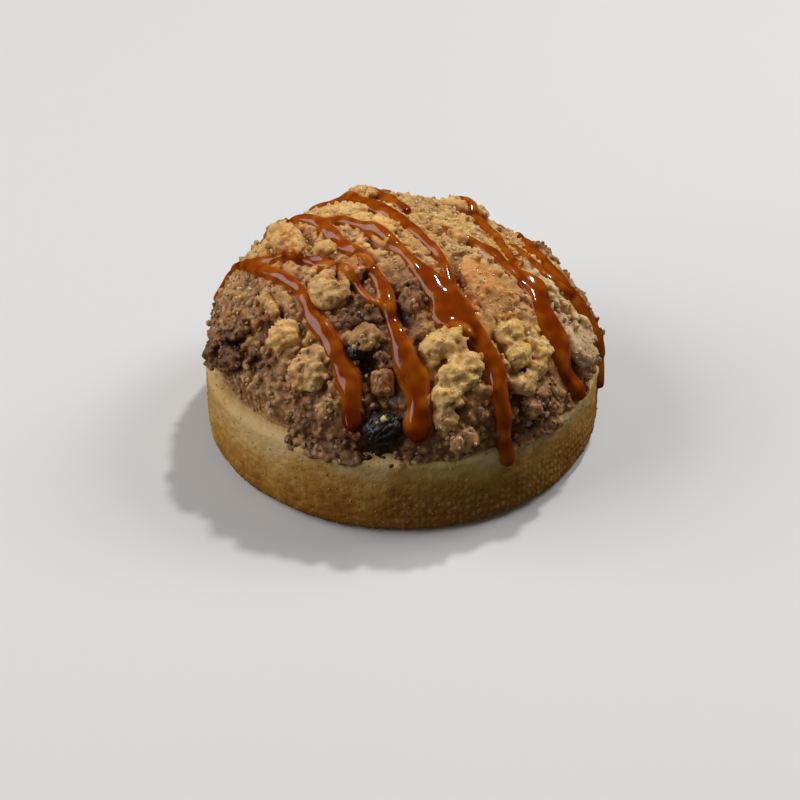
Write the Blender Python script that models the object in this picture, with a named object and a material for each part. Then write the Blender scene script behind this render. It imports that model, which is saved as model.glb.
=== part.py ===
"""A single-portion apple tart: a straight shortcrust shell, filled and domed with baked crumble,
with raisins and apple cubes showing in the crumble and thick caramel drizzled over it.

Metres, +Z up. The origin is the centre of the shell's flat underside, and -Y is the front.
"""

import math
import random

import bmesh
import bpy
from mathutils import Matrix, Vector, noise

# Shell
SHELL_RADIUS = 0.045
SHELL_HEIGHT = 0.020
SHELL_WALL = 0.0052
SHELL_FLOOR = 0.005
SHELL_SIDES = 56
FOOT_ROUND = 0.0034
RIM_WAVE = 0.0005
SIDE_WAVE = 0.0003
GAP = 0.0004

# Heap of crumble, measured from the middle of the rim's plane
HEAP_RADIUS = 0.0446
HEAP_RISE = 0.0318
HEAP_POWER = 1.85
HEAP_LEAN = -0.0045
HEAP_POINTS = 1150
PLUG_SIDES = 64
LUMP_SIZE = 0.0056
LUMP_HEIGHT = 0.0021
ROUGHNESS = 0.0009
HEAP_SEED = 5
CRUMBLE_TRIANGLES = 10200

# The heap stands back from the rim's outer edge, most at the front left: mean, extra, its azimuth, spread
SETBACK = (0.0005, 0.0044, -52, 21)

# Broad swellings and hollows of the heap: azimuth, elevation, spread in degrees, rise in metres.
# Azimuth 0 is the front, and it grows towards +X.
SWELLINGS = (
    (-108, 56, 14, 0.0018),
    (-92, 47, 16, 0.0010),
    (-88, 28, 16, 0.0006),
    (-60, 20, 20, 0.0003),
    (118, 46, 28, -0.0038),
    (-125, 35, 28, -0.0016),
    (90, 8, 18, 0.0012),
    (60, 40, 22, 0.0006),
    (-150, 70, 14, 0.0012),
    (150, 62, 18, -0.0010),
    (30, 25, 20, 0.0006),
    (-6, 20, 9, -0.0022),
)

# Large crumbs that stand out: azimuth, elevation, length, width, height in metres, turn in degrees
LARGE_CRUMBS = (
    (56, 43, 0.0200, 0.0115, 0.0050, 60),
    (46, 29, 0.0066, 0.0062, 0.0058, 10),
    (44, 23, 0.0064, 0.0058, 0.0056, 40),
    (52, 20, 0.0068, 0.0060, 0.0060, 75),
    (21, 33, 0.0125, 0.0070, 0.0052, 12),
    (22, 24, 0.0110, 0.0080, 0.0062, 20),
    (14, 18, 0.0068, 0.0072, 0.0060, 60),
    (-43, 29, 0.0080, 0.0068, 0.0066, 80),
    (-34, 50, 0.0100, 0.0096, 0.0052, 35),
    (-88, 52, 0.0150, 0.0076, 0.0048, 10),
    (-142, 70, 0.0100, 0.0076, 0.0046, 10),
    (5, 86, 0.0110, 0.0064, 0.0034, 5),
    (-28, 24, 0.0100, 0.0084, 0.0042, 70),
    (72, 13, 0.0130, 0.0110, 0.0042, 55),
    (81, 31, 0.0130, 0.0080, 0.0040, 50),
    (-66, 20, 0.0084, 0.0070, 0.0048, 45),
    (150, 30, 0.0120, 0.0090, 0.0052, 40),
    (-165, 45, 0.0110, 0.0080, 0.0050, 75),
)

# Crumbs of the middle size
MIDDLE_CRUMBS = (
    (47, 17, 0.0052, 0.0050, 0.0050, 20),
    (11, 12, 0.0056, 0.0050, 0.0050, 0),
    (103, 59, 0.0054, 0.0050, 0.0050, 15),
    (118, 66, 0.0050, 0.0046, 0.0046, 50),
    (-11, 38, 0.0074, 0.0064, 0.0050, 20),
    (14, 49, 0.0066, 0.0056, 0.0046, 65),
    (-61, 13, 0.0080, 0.0064, 0.0050, 0),
    (-72, 8, 0.0066, 0.0058, 0.0050, 85),
    (43, 8, 0.0084, 0.0062, 0.0050, 25),
    (-60, 63, 0.0060, 0.0052, 0.0042, 60),
    (-62, 35, 0.0046, 0.0042, 0.0042, 0),
    (-54, 34, 0.0044, 0.0040, 0.0042, 30),
    (-135, 18, 0.0090, 0.0080, 0.0056, 15),
    (125, 12, 0.0086, 0.0070, 0.0054, 60),
    (178, 14, 0.0100, 0.0076, 0.0054, 20),
)
LARGE_LIFT = 0.0002
EDGE_SINK = 0.0014
SCATTERED_CRUMBS = 62
SCATTERED_SIZE = (0.0042, 0.0064)
SCATTER_SEED = 23

# Pits between crumbs: azimuth, elevation, radius and depth in metres
PITS = (
    (-8.5, 27, 0.0016, 0.0030),
    (-53, 27, 0.0020, 0.0026),
    (-50, 17, 0.0017, 0.0024),
    (9, 43, 0.0018, 0.0028),
    (112, 66, 0.0018, 0.0024),
    (-10, 2, 0.0022, 0.0022),
    (-4, 2, 0.0022, 0.0022),
)

# Fruit that shows: azimuth, elevation, length, width, height in metres, turn in degrees
RAISINS = (
    (-5.5, 9.5, 0.0088, 0.0076, 0.0070, 20),
    (-13.5, 32, 0.0052, 0.0046, 0.0046, 60),
    (152, 17, 0.0088, 0.0064, 0.0062, 65),
)
APPLE_CUBES = (
    (-4.5, 22, 0.0050, 0.0058, 0.0052, 6),
    (-172, 28, 0.0070, 0.0062, 0.0056, 35),
)
FRUIT_SINK = 0.0010
FRUIT_MARGIN = 0.0036

# Caramel ribbons, each as the bends of its line: azimuth, elevation, width in millimetres there.
# A negative elevation lies on the shell's wall, below the rim.
CARAMEL_DEPTH = 0.0016
CARAMEL_SINK = 0.0020
RIBBON_ROUND = (0, 48, 90, 132, 180, 270)
RIBBON_STEP = 0.0056
RIBBONS = (
    ((-99, 9, 3.2), (-100, 20, 3.2), (-93, 31, 3.6), (-81, 38, 3.8), (-66, 44, 3.4), (-50, 45, 3.6),
     (-35, 39, 4.0), (-24, 33, 4.2), (-18, 26, 4.4), (-15, 20, 4.8), (-14, 6, 5.0)),
    ((-93, 31, 3.0), (-84, 41, 2.8), (-75, 50, 2.6), (-60, 57, 2.6), (-38, 60, 3.0), (-24, 58, 2.8),
     (-12, 51, 2.8), (0, 46, 3.0)),
    ((-122, 10, 3.2), (-124, 26, 3.4), (-116, 40, 3.8), (-111, 53, 4.2), (-101, 64, 3.8), (-88, 68, 3.6),
     (-60, 70, 3.6), (-30, 70, 3.4), (-11, 63, 3.4), (-1, 54, 3.9), (2, 43, 4.6), (4, 33, 5.6),
     (6, 24, 7.0), (6, 15, 7.0), (4, 3.5, 6.6)),
    ((-101, 64, 3.4), (-108, 72, 3.2), (-101, 79, 3.0), (-30, 84, 3.2), (21, 75, 3.4), (28, 65, 3.8),
     (30, 56, 5.6), (32, 46, 7.4), (33, 39, 7.6), (35, 31, 5.6), (34, 24, 4.4), (32, 16, 5.6),
     (31, 10, 6.2), (30, 3, 4.4), (30.5, -7, 4.4)),
    ((-140, 12, 3.0), (-146, 30, 3.2), (-156, 48, 3.4), (-170, 66, 4.4), (160, 75, 5.4), (120, 79, 4.0),
     (70, 73, 3.2), (55, 64, 3.0), (44, 55, 3.6), (36, 47, 3.8)),
    ((-168, 14, 3.0), (-171, 32, 3.2), (-177, 48, 3.4), (168, 58, 3.4), (160, 60, 2.8)),
    ((135, 60, 2.6), (118, 57, 2.8), (103, 52, 3.2), (88, 45, 4.6), (79, 39, 5.0), (74, 32, 6.8),
     (67, 27, 6.5), (63, 20, 7.0), (60, 12, 6.2), (61, 5, 5.4), (63, -1, 5.0)),
    ((162, 12, 3.0), (157, 26, 3.0), (142, 33, 3.2), (126, 36, 3.2), (111, 38, 3.2), (95, 39, 3.2),
     (82, 38, 3.0)),
    ((140, 10, 3.0), (130, 20, 3.2), (117, 24, 4.0), (105, 24, 4.0), (94, 22, 4.4), (88, 17, 5.4),
     (84, 10, 4.6), (84, 1, 4.2), (80, -9, 4.0)),
    ((116, 33, 2.6), (105, 32, 2.8), (97, 30, 3.4), (90, 25, 3.2), (87, 19, 3.0)),
)

COLOURS = {
    "shortcrust": ((0.44, 0.27, 0.12), 0.85, 0.0),
    "crumble": ((0.34, 0.20, 0.10), 0.85, 0.0),
    "raisin": ((0.018, 0.012, 0.010), 0.35, 0.0),
    "apple": ((0.26, 0.11, 0.04), 0.35, 0.0),
}


def direction(azimuth, elevation):
    """The unit vector for an azimuth and an elevation in degrees, with azimuth 0 at the front."""
    a, e = math.radians(azimuth), math.radians(elevation)
    return Vector((math.cos(e) * math.sin(a), -math.cos(e) * math.cos(a), math.sin(e)))


SWELLING_LINES = [(direction(a, e), math.radians(s), rise) for a, e, s, rise in SWELLINGS]


def skin_point(line, lift=0.0):
    """Where a line from the middle of the rim's plane leaves the smooth tart: the heap above the rim,
    the shell's wall below it."""
    level = math.hypot(line.x, line.y)
    if line.z < 0:
        return line * ((SHELL_RADIUS + lift) / level) + Vector((0, 0, SHELL_HEIGHT))
    reach = ((level / HEAP_RADIUS) ** HEAP_POWER + (line.z / HEAP_RISE) ** HEAP_POWER) ** (-1 / HEAP_POWER)
    for centre, spread, rise in SWELLING_LINES:
        reach += rise * math.exp(-((line.angle(centre) / spread) ** 2))
    point = line * (reach + lift)
    point.x += HEAP_LEAN * (point.z / HEAP_RISE) ** 1.5
    point.z += SHELL_HEIGHT
    return point


def skin_normal(line):
    across = line.orthogonal().normalized()
    up = line.cross(across)
    small = 0.01
    here = skin_point(line)
    first = skin_point((line + across * small).normalized()) - here
    second = skin_point((line + up * small).normalized()) - here
    normal = first.cross(second).normalized()
    return normal if normal.dot(line) > 0 else -normal


def skin_matrix(azimuth, elevation, turn, lift):
    """A frame on the skin: its Z along the normal, its X turned from the level direction."""
    line = direction(azimuth, elevation)
    normal = skin_normal(line)
    level = Vector((0, 0, 1)).cross(normal).normalized()
    axes = Matrix((level, normal.cross(level), normal)).transposed().to_4x4()
    spin = Matrix.Rotation(math.radians(turn), 4, "Z")
    return Matrix.Translation(skin_point(line) + normal * lift) @ axes @ spin


def lumps(point):
    """The height of the crumbs that only show as lumps: high at each one's middle, low where two meet."""
    nearest, second = noise.voronoi(point / LUMP_SIZE)[0][:2]
    return LUMP_HEIGHT * (min(1.0, (second - nearest) * 1.6) - 0.55)


def setback(azimuth, elevation):
    mean, extra, middle, spread = SETBACK
    apart = (azimuth - middle + 180) % 360 - 180
    return (mean + extra * math.exp(-((apart / spread) ** 2))) * max(0.0, 1 - elevation / 10)


def mesh_object(name, bm, material=None):
    mesh = bpy.data.meshes.new(name)
    bm.to_mesh(mesh)
    bm.free()
    obj = bpy.data.objects.new(name, mesh)
    bpy.context.scene.collection.objects.link(obj)
    if material:
        mesh.materials.append(material)
    return obj


def make_material(name):
    colour, roughness, metallic = COLOURS[name]
    material = bpy.data.materials.new(name)
    material.use_nodes = True
    shader = material.node_tree.nodes["Principled BSDF"]
    shader.inputs["Base Color"].default_value = (*colour, 1)
    shader.inputs["Roughness"].default_value = roughness
    shader.inputs["Metallic"].default_value = metallic
    return material


def ring_body(rings, low_centre, high_centre):
    """A closed body from rings of points, each ring running anticlockwise seen from above."""
    bm = bmesh.new()
    loops = [[bm.verts.new(point) for point in ring] for ring in rings]
    for low, high in zip(loops, loops[1:]):
        for i, vert in enumerate(low):
            after = (i + 1) % len(low)
            bm.faces.new((vert, low[after], high[after], high[i]))
    for centre, loop in ((low_centre, loops[0][::-1]), (high_centre, loops[-1])):
        middle = bm.verts.new(centre)
        for i, vert in enumerate(loop):
            bm.faces.new((vert, loop[(i + 1) % len(loop)], middle))
    return bm


def shell_rings(grown=0.0):
    """The shell's profile turned round, from the foot up the outside, over the rim and down the
    inside. Grown, it is the space that the crumble keeps clear of."""
    outer, inner = SHELL_RADIUS + grown, SHELL_RADIUS - SHELL_WALL - grown
    top, floor = SHELL_HEIGHT + grown, SHELL_FLOOR + grown
    rim_middle, rim_half = (outer + inner) / 2, (outer - inner) / 2
    foot = FOOT_ROUND
    profile = [(outer - foot * (1 - math.sin(a)), foot * (1 - math.cos(a)) - 2 * grown)
               for a in (0, math.pi / 6, math.pi / 3, math.pi / 2)]
    profile.append((outer, SHELL_HEIGHT * 0.5))
    profile += [(rim_middle + rim_half * math.cos(a), top - rim_half * 0.8 * (1 - math.sin(a)))
                for a in (0, math.pi / 5, math.pi / 2.5, math.pi * 0.6, math.pi * 0.8, math.pi)]
    profile += [(inner, floor + foot * 0.5), (inner - foot * 0.5, floor)]
    rings = []
    for radius, z in profile:
        ring = []
        for i in range(SHELL_SIDES):
            angle = 2 * math.pi * i / SHELL_SIDES
            rim_share = max(0.0, min(1.0, (z - SHELL_HEIGHT * 0.5) / (SHELL_HEIGHT * 0.5)))
            wave = math.sin(3 * angle + 1.0) + 0.6 * math.sin(5 * angle)
            bulge = math.sin(2 * angle + 0.6) + 0.5 * math.sin(7 * angle + 2.0)
            r = radius + SIDE_WAVE * bulge * min(1.0, z / FOOT_ROUND if z > 0 else 0.0)
            ring.append((r * math.cos(angle), r * math.sin(angle), z + RIM_WAVE * wave * rim_share))
        rings.append(ring)
    return rings, Vector((0, 0, -2 * grown)), Vector((0, 0, floor))


def build_shell(material):
    shell = mesh_object("shell", ring_body(*shell_rings()), material)
    shell.data.shade_smooth()
    shell.data.set_sharp_from_angle(angle=math.radians(50))
    return shell


def heap_core():
    """The dome over the rim and the plug of filling under it. The points are spread evenly by the golden
    angle, and the hull of their directions gives the faces."""
    draw = random.Random(HEAP_SEED)
    plug_radius = SHELL_RADIUS - SHELL_WALL * 0.6
    bm = bmesh.new()
    places = {}

    def add(line, place):
        vert = bm.verts.new(line)
        places[vert] = place

    for i in range(HEAP_POINTS):
        height = 1 - (i + 0.5) / HEAP_POINTS
        azimuth, elevation = i * 137.508, math.degrees(math.asin(height))
        line = direction(azimuth, elevation)
        point = skin_point(line)
        rough = lumps(point) + ROUGHNESS * draw.uniform(-0.6, 0.4)
        rough *= min(1.0, 0.35 + elevation / 9)
        add(line, point + skin_normal(line) * rough - line * setback(azimuth, elevation))
    for i in range(PLUG_SIDES):
        a = 360 * i / PLUG_SIDES
        edge = direction(a, 0)
        add(direction(a, -4), Vector((edge.x * plug_radius, edge.y * plug_radius, SHELL_HEIGHT - 0.002)))
        add(direction(a, -45), Vector((edge.x * plug_radius, edge.y * plug_radius, SHELL_FLOOR - 0.001)))
    add(Vector((0, 0, -1)), Vector((0, 0, SHELL_FLOOR - 0.001)))
    bmesh.ops.convex_hull(bm, input=bm.verts)
    for vert, place in places.items():
        vert.co = place
    bmesh.ops.recalc_face_normals(bm, faces=bm.faces)
    return bm


def crumb(name, place, size, seed, fine):
    """One irregular lump, half sunk where it lies. A fine one has 80 faces and a plain one 20."""
    bm = bmesh.new()
    bmesh.ops.create_icosphere(bm, subdivisions=2 if fine else 1, radius=0.5)
    offset = Vector((seed * 3.7, seed * 1.3, seed * 7.1))
    for vert in bm.verts:
        vert.co *= 1 + 0.26 * noise.noise(vert.co * 2.6 + offset)
    bmesh.ops.scale(bm, vec=Vector(size), verts=bm.verts)
    bmesh.ops.transform(bm, matrix=place, verts=bm.verts)
    return mesh_object(name, bm)


def crumbs():
    """The large and middle crumbs where they lie, then more spread evenly by the golden angle."""
    made = []
    taken = [(skin_point(direction(c[0], c[1])), max(c[2], c[3]) / 2) for c in LARGE_CRUMBS + MIDDLE_CRUMBS]
    taken += [(skin_point(direction(f[0], f[1])), f[2] / 2 + FRUIT_MARGIN / 2) for f in RAISINS + APPLE_CUBES]
    taken += [(skin_point(direction(a, e)), radius * 1.5) for a, e, radius, _depth in PITS]
    for number, (a, e, length, width, height, turn) in enumerate(LARGE_CRUMBS + MIDDLE_CRUMBS):
        place = skin_matrix(a, e, turn, LARGE_LIFT - EDGE_SINK * max(0.0, 1 - e / 14))
        fine = number < len(LARGE_CRUMBS)
        made.append(crumb(f"crumb_{number}", place, (length, width, height), number + 1, fine))
    draw = random.Random(SCATTER_SEED)
    for number in range(SCATTERED_CRUMBS * 2):
        elevation = math.degrees(math.asin((number + 0.5) / SCATTERED_CRUMBS / 2)) * 0.92 + 6
        azimuth = number * 137.508 + draw.uniform(-6, 6)
        length = draw.uniform(*SCATTERED_SIZE)
        width, height = length * draw.uniform(0.7, 1.0), length * draw.uniform(0.65, 0.9)
        turn = draw.uniform(0, 180)
        middle = skin_point(direction(azimuth, elevation))
        if any((middle - place).length < length * 0.4 + reach for place, reach in taken):
            continue
        taken.append((middle, length))
        place = skin_matrix(azimuth, elevation, turn, -0.0004 - EDGE_SINK * max(0.0, 1 - elevation / 14))
        made.append(crumb(f"small_{number}", place, (length, width, height), number + 50, fine=False))
    return made


def spline(points, step):
    """Rows a step apart on a smooth curve through the given ones, measured over their first three columns."""
    ends = [points[0] * 2 - points[1], *points, points[-1] * 2 - points[-2]]
    line = []
    for a, b, c, d in zip(ends, ends[1:], ends[2:], ends[3:]):
        pieces = max(1, round((c - b).xyz.length / step))
        for i in range(pieces):
            t = i / pieces
            line.append(0.5 * (2 * b + (c - a) * t + (2 * a - 5 * b + 4 * c - d) * t * t
                               + (3 * b - a - 3 * c + d) * t ** 3))
    return [*line, points[-1]]


def ribbon(name, bends):
    """A bead of caramel laid along the skin, with round ends."""
    knots = [Vector((*direction(a, e), width / 1000)) for a, e, width in bends]
    rows = spline(knots, RIBBON_STEP / SHELL_RADIUS)
    rows = [rows[0], rows[0].lerp(rows[1], 0.12), rows[0].lerp(rows[1], 0.42), *rows[1:-1],
            rows[-1].lerp(rows[-2], 0.42), rows[-1].lerp(rows[-2], 0.12), rows[-1]]
    lines = [row.xyz.normalized() for row in rows]
    points = [skin_point(line) for line in lines]
    run = [0.0]
    for here, after in zip(points, points[1:]):
        run.append(run[-1] + (after - here).length)
    rings = []
    for i, line in enumerate(lines):
        along = (points[min(i + 1, len(points) - 1)] - points[max(i - 1, 0)]).normalized()
        normal = skin_normal(line)
        across = normal.cross(along).normalized()
        half = rows[i].w / 2
        to_end = min(1.0, min(run[i], run[-1] - run[i]) / half + 0.08)
        full = math.sqrt(1 - (1 - to_end) ** 2)
        ring = []
        for degrees in RIBBON_ROUND:
            a = math.radians(degrees)
            depth = CARAMEL_DEPTH if math.sin(a) > 0 else CARAMEL_SINK
            ring.append(points[i] + (across * math.cos(a) * half + normal * math.sin(a) * depth) * full)
        rings.append(ring)
    bm = ring_body(rings, points[0], points[-1])
    bmesh.ops.recalc_face_normals(bm, faces=bm.faces)
    return mesh_object(name, bm)


def raisin_mesh(place, size, seed, grown=0.0):
    """A wrinkled ellipsoid."""
    bm = bmesh.new()
    bmesh.ops.create_icosphere(bm, subdivisions=3 if not grown and size[0] > 0.007 else 2, radius=0.5)
    offset = Vector((seed * 5.3, seed * 2.9, seed))
    for vert in bm.verts:
        if not grown:
            vert.co *= 1 - 0.16 * abs(noise.noise(vert.co * 6 + offset))
    bmesh.ops.scale(bm, vec=Vector(size) + Vector((2, 2, 2)) * grown, verts=bm.verts)
    bmesh.ops.transform(bm, matrix=place, verts=bm.verts)
    return bm


def apple_mesh(place, size, grown=0.0):
    """A cooked cube with soft corners."""
    bm = bmesh.new()
    bmesh.ops.create_cube(bm, size=1.0)
    bmesh.ops.scale(bm, vec=Vector(size) + Vector((2, 2, 2)) * grown, verts=bm.verts)
    bmesh.ops.bevel(bm, geom=bm.edges, offset=0.0013, segments=2, affect="EDGES", profile=0.5)
    bmesh.ops.transform(bm, matrix=place, verts=bm.verts)
    return bm


def place_fruit(raisin_material, apple_material):
    """The raisins and apple cubes, and the pockets that they lie in."""
    pockets = []
    for number, (a, e, length, width, height, turn) in enumerate(RAISINS, 1):
        place = skin_matrix(a, e, turn, -FRUIT_SINK)
        size = (length, width, height)
        mesh_object(f"raisin_{number}", raisin_mesh(place, size, number), raisin_material).data.shade_smooth()
        pockets.append(mesh_object(f"raisin_pocket_{number}", raisin_mesh(place, size, number, 2 * GAP)))
    for number, (a, e, length, width, height, turn) in enumerate(APPLE_CUBES, 1):
        place = skin_matrix(a, e, turn, -FRUIT_SINK)
        size = (length, width, height)
        cube = mesh_object(f"apple_cube_{number}", apple_mesh(place, size), apple_material)
        cube.data.shade_smooth()
        pockets.append(mesh_object(f"apple_pocket_{number}", apple_mesh(place, size, GAP)))
    return pockets


def pit(name, azimuth, elevation, radius, depth):
    """The hollow left between crumbs, as a cutter that stands half out of the skin."""
    bm = bmesh.new()
    bmesh.ops.create_icosphere(bm, subdivisions=1, radius=1.0)
    bmesh.ops.scale(bm, vec=Vector((radius, radius * 0.8, depth)), verts=bm.verts)
    bmesh.ops.transform(bm, matrix=skin_matrix(azimuth, elevation, azimuth, 0.0), verts=bm.verts)
    return mesh_object(name, bm)


def combine(obj, others, operation):
    """One Boolean with all the others at once, applied, and the others then removed."""
    group = bpy.data.collections.new(operation.lower())
    bpy.context.scene.collection.children.link(group)
    for other in others:
        bpy.context.scene.collection.objects.unlink(other)
        group.objects.link(other)
    modifier = obj.modifiers.new(operation.lower(), "BOOLEAN")
    modifier.operation = operation
    modifier.operand_type = "COLLECTION"
    modifier.collection = group
    modifier.solver = "MANIFOLD"
    graph = bpy.context.evaluated_depsgraph_get()
    joined = bpy.data.meshes.new_from_object(obj.evaluated_get(graph))
    obj.modifiers.clear()
    obj.data = joined
    for other in others:
        bpy.data.objects.remove(other)
    bpy.data.collections.remove(group)


def keep_main_body(obj):
    """Drops the loose scraps and the sealed hollows that a Boolean leaves."""
    bm = bmesh.new()
    bm.from_mesh(obj.data)
    unseen, bodies = set(bm.faces), []
    while unseen:
        stack, body = [unseen.pop()], []
        while stack:
            face = stack.pop()
            body.append(face)
            for edge in face.edges:
                for other in edge.link_faces:
                    if other in unseen:
                        unseen.remove(other)
                        stack.append(other)
        bodies.append(body)
    bodies.sort(key=len, reverse=True)
    loose = [face for body in bodies[1:] for face in body]
    bmesh.ops.delete(bm, geom=loose, context="FACES")
    bmesh.ops.triangulate(bm, faces=bm.faces)
    bm.to_mesh(obj.data)
    bm.free()


def thin_out(obj):
    """Collapses the slivers that the Booleans leave where two lumps meet."""
    modifier = obj.modifiers.new("thin_out", "DECIMATE")
    modifier.ratio = min(1.0, CRUMBLE_TRIANGLES / len(obj.data.polygons))
    graph = bpy.context.evaluated_depsgraph_get()
    thinned = bpy.data.meshes.new_from_object(obj.evaluated_get(graph))
    obj.modifiers.clear()
    obj.data = thinned


def build_crumble(material, pockets):
    """The heap with its crumbs and the caramel fused on, clear of the shell and of the fruit."""
    crumble = mesh_object("crumble", heap_core())
    caramel = [ribbon(f"ribbon_{i}", bends) for i, bends in enumerate(RIBBONS)]
    pits = [pit(f"pit_{i}", *values) for i, values in enumerate(PITS)]
    combine(crumble, crumbs(), "UNION")
    combine(crumble, pits, "DIFFERENCE")
    combine(crumble, caramel, "UNION")
    clearance = mesh_object("shell_clearance", ring_body(*shell_rings(GAP)))
    combine(crumble, [clearance, *pockets], "DIFFERENCE")
    keep_main_body(crumble)
    thin_out(crumble)
    crumble.data.materials.clear()
    crumble.data.materials.append(material)
    return crumble


def main():
    for obj in list(bpy.data.objects):
        bpy.data.objects.remove(obj)
    materials = {name: make_material(name) for name in COLOURS}
    build_shell(materials["shortcrust"])
    pockets = place_fruit(materials["raisin"], materials["apple"])
    build_crumble(materials["crumble"], pockets)


main()
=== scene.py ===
# An apple tart: a shortcrust shell, a domed heap of baked crumble, caramel ribbons, raisins and apple.
# Lengths in the dictionaries are in millimetres, and the front of the tart looks towards -Y.
import math

import bpy
import numpy as np
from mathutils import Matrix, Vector
from mathutils.bvhtree import BVHTree
from mathutils.kdtree import KDTree


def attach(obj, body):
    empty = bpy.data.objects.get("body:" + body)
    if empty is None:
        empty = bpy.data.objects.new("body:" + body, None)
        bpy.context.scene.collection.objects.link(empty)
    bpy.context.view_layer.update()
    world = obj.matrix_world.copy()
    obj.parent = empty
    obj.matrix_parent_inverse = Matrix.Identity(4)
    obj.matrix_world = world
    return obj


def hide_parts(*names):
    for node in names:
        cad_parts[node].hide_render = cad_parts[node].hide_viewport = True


mm = 0.001

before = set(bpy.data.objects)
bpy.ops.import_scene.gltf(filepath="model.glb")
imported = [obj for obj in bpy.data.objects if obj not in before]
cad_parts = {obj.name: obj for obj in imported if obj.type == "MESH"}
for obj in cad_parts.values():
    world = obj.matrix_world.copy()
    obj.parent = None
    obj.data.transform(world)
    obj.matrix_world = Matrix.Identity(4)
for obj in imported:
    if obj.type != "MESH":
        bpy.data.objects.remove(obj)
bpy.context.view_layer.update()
print("frame loaded:", len(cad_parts), "nodes")

tartShape = {
    "shellRadius": 45.0,
    "shellHeight": 20.0,
    "shellWall": 5.2,
    "footRound": 3.4,
    "rimWave": 0.5,
    "heapRadius": 44.6,
    "heapRise": 31.8,
    "heapPower": 1.85,
    "heapLean": -4.5,
    # azimuth, elevation, spread in degrees, rise in mm
    "swellings": (
        (-108, 56, 14, 1.8), (-92, 47, 16, 1.0), (-88, 28, 16, 0.6), (-60, 20, 20, 0.3), (118, 46, 28, -3.8),
        (-125, 35, 28, -1.6), (90, 8, 18, 1.2), (60, 40, 22, 0.6), (-150, 70, 14, 0.2), (150, 62, 18, -1.8),
        (30, 25, 20, 0.6), (-6, 20, 9, -2.2),
    ),
    # the heap stands back from the rim at the front left: mean, extra, azimuth, spread
    "setback": (0.5, 4.4, -52, 21),
}


def deselectAll():
    if bpy.context.mode != "OBJECT":
        bpy.ops.object.mode_set(mode="OBJECT")
    bpy.ops.object.select_all(action="DESELECT")


def makeActive(piece):
    deselectAll()
    piece.select_set(True)
    bpy.context.view_layer.objects.active = piece


def applyModifiers(piece):
    makeActive(piece)
    for modifier in list(piece.modifiers):
        bpy.ops.object.modifier_apply(modifier=modifier.name)


def meshPiece(name, points, faces):
    mesh = bpy.data.meshes.new(name)
    mesh.from_pydata(points.tolist(), [], faces)
    mesh.update()
    piece = bpy.data.objects.new(name, mesh)
    bpy.context.scene.collection.objects.link(piece)
    return piece


def readPoints(piece):
    points = np.empty(len(piece.data.vertices) * 3)
    piece.data.vertices.foreach_get("co", points)
    return points.reshape(-1, 3)


def writePoints(piece, points):
    piece.data.vertices.foreach_set("co", np.asarray(points, float).ravel())
    piece.data.update()


def readNormals(piece):
    normals = np.empty(len(piece.data.vertices) * 3)
    piece.data.vertices.foreach_get("normal", normals)
    return normals.reshape(-1, 3)


def addFloat(piece, name, values):
    attribute = piece.data.attributes.new(name, "FLOAT", "POINT")
    attribute.data.foreach_set("value", np.asarray(values, np.float32))


def readFloat(piece, name):
    values = np.empty(len(piece.data.vertices), np.float32)
    piece.data.attributes[name].data.foreach_get("value", values)
    return values


def shadeSmooth(piece):
    makeActive(piece)
    bpy.ops.object.shade_smooth()


def unit(vectors):
    return vectors / np.maximum(np.linalg.norm(vectors, axis=-1, keepdims=True), 1e-12)


def smoothStep(low, high, value):
    t = np.clip((value - low) / (high - low), 0, 1)
    return t * t * (3 - 2 * t)


def direction(azimuth, elevation):
    a, e = np.radians(np.asarray(azimuth, float)), np.radians(np.asarray(elevation, float))
    return np.stack([np.cos(e) * np.sin(a), -np.cos(e) * np.cos(a), np.sin(e)], -1)


def heapPoint(lines, lift=0.0):
    # where lines from the middle of the rim's plane leave the smooth heap, or the shell's wall below the rim
    shape = tartShape
    lines = np.atleast_2d(np.asarray(lines, float))
    lift = np.broadcast_to(lift, lines.shape[:1])
    level = np.hypot(lines[:, 0], lines[:, 1])
    up = np.clip(lines[:, 2], 0, None)
    power = shape["heapPower"]
    reach = ((level / shape["heapRadius"]) ** power + (up / shape["heapRise"]) ** power) ** (-1 / power)
    for azimuth, elevation, spread, rise in shape["swellings"]:
        apart = np.degrees(np.arccos(np.clip(lines @ direction(azimuth, elevation), -1, 1)))
        reach = reach + rise * np.exp(-((apart / spread) ** 2))
    points = lines * (reach + lift)[:, None]
    points[:, 0] += shape["heapLean"] * (np.clip(points[:, 2], 0, None) / shape["heapRise"]) ** 1.5
    wall = lines[:, 2] < 0
    points[wall] = lines[wall] * ((shape["shellRadius"] + lift[wall]) / level[wall])[:, None]
    points[:, 2] += shape["shellHeight"]
    return points * mm


def heapNormal(lines):
    lines = np.atleast_2d(lines)
    across = unit(np.cross(lines, (0.31, 0.17, 0.94)))
    upward = np.cross(across, lines)
    here = heapPoint(lines)
    first = heapPoint(unit(lines + across * 0.012)) - here
    second = heapPoint(unit(lines + upward * 0.012)) - here
    normals = unit(np.cross(first, second))
    return normals * np.sign((normals * lines).sum(1))[:, None]


def heapAxes(lines, turn=0.0):
    # level, uphill and outward directions on the heap, the first two turned by an angle in degrees
    normals = heapNormal(lines)
    level = unit(np.cross((0, 0, 1.0), normals))
    uphill = np.cross(normals, level)
    turn = np.radians(np.broadcast_to(turn, normals.shape[:1]))[:, None]
    first = level * np.cos(turn) + uphill * np.sin(turn)
    second = uphill * np.cos(turn) - level * np.sin(turn)
    return np.stack([first, second, normals], 1)


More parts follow.
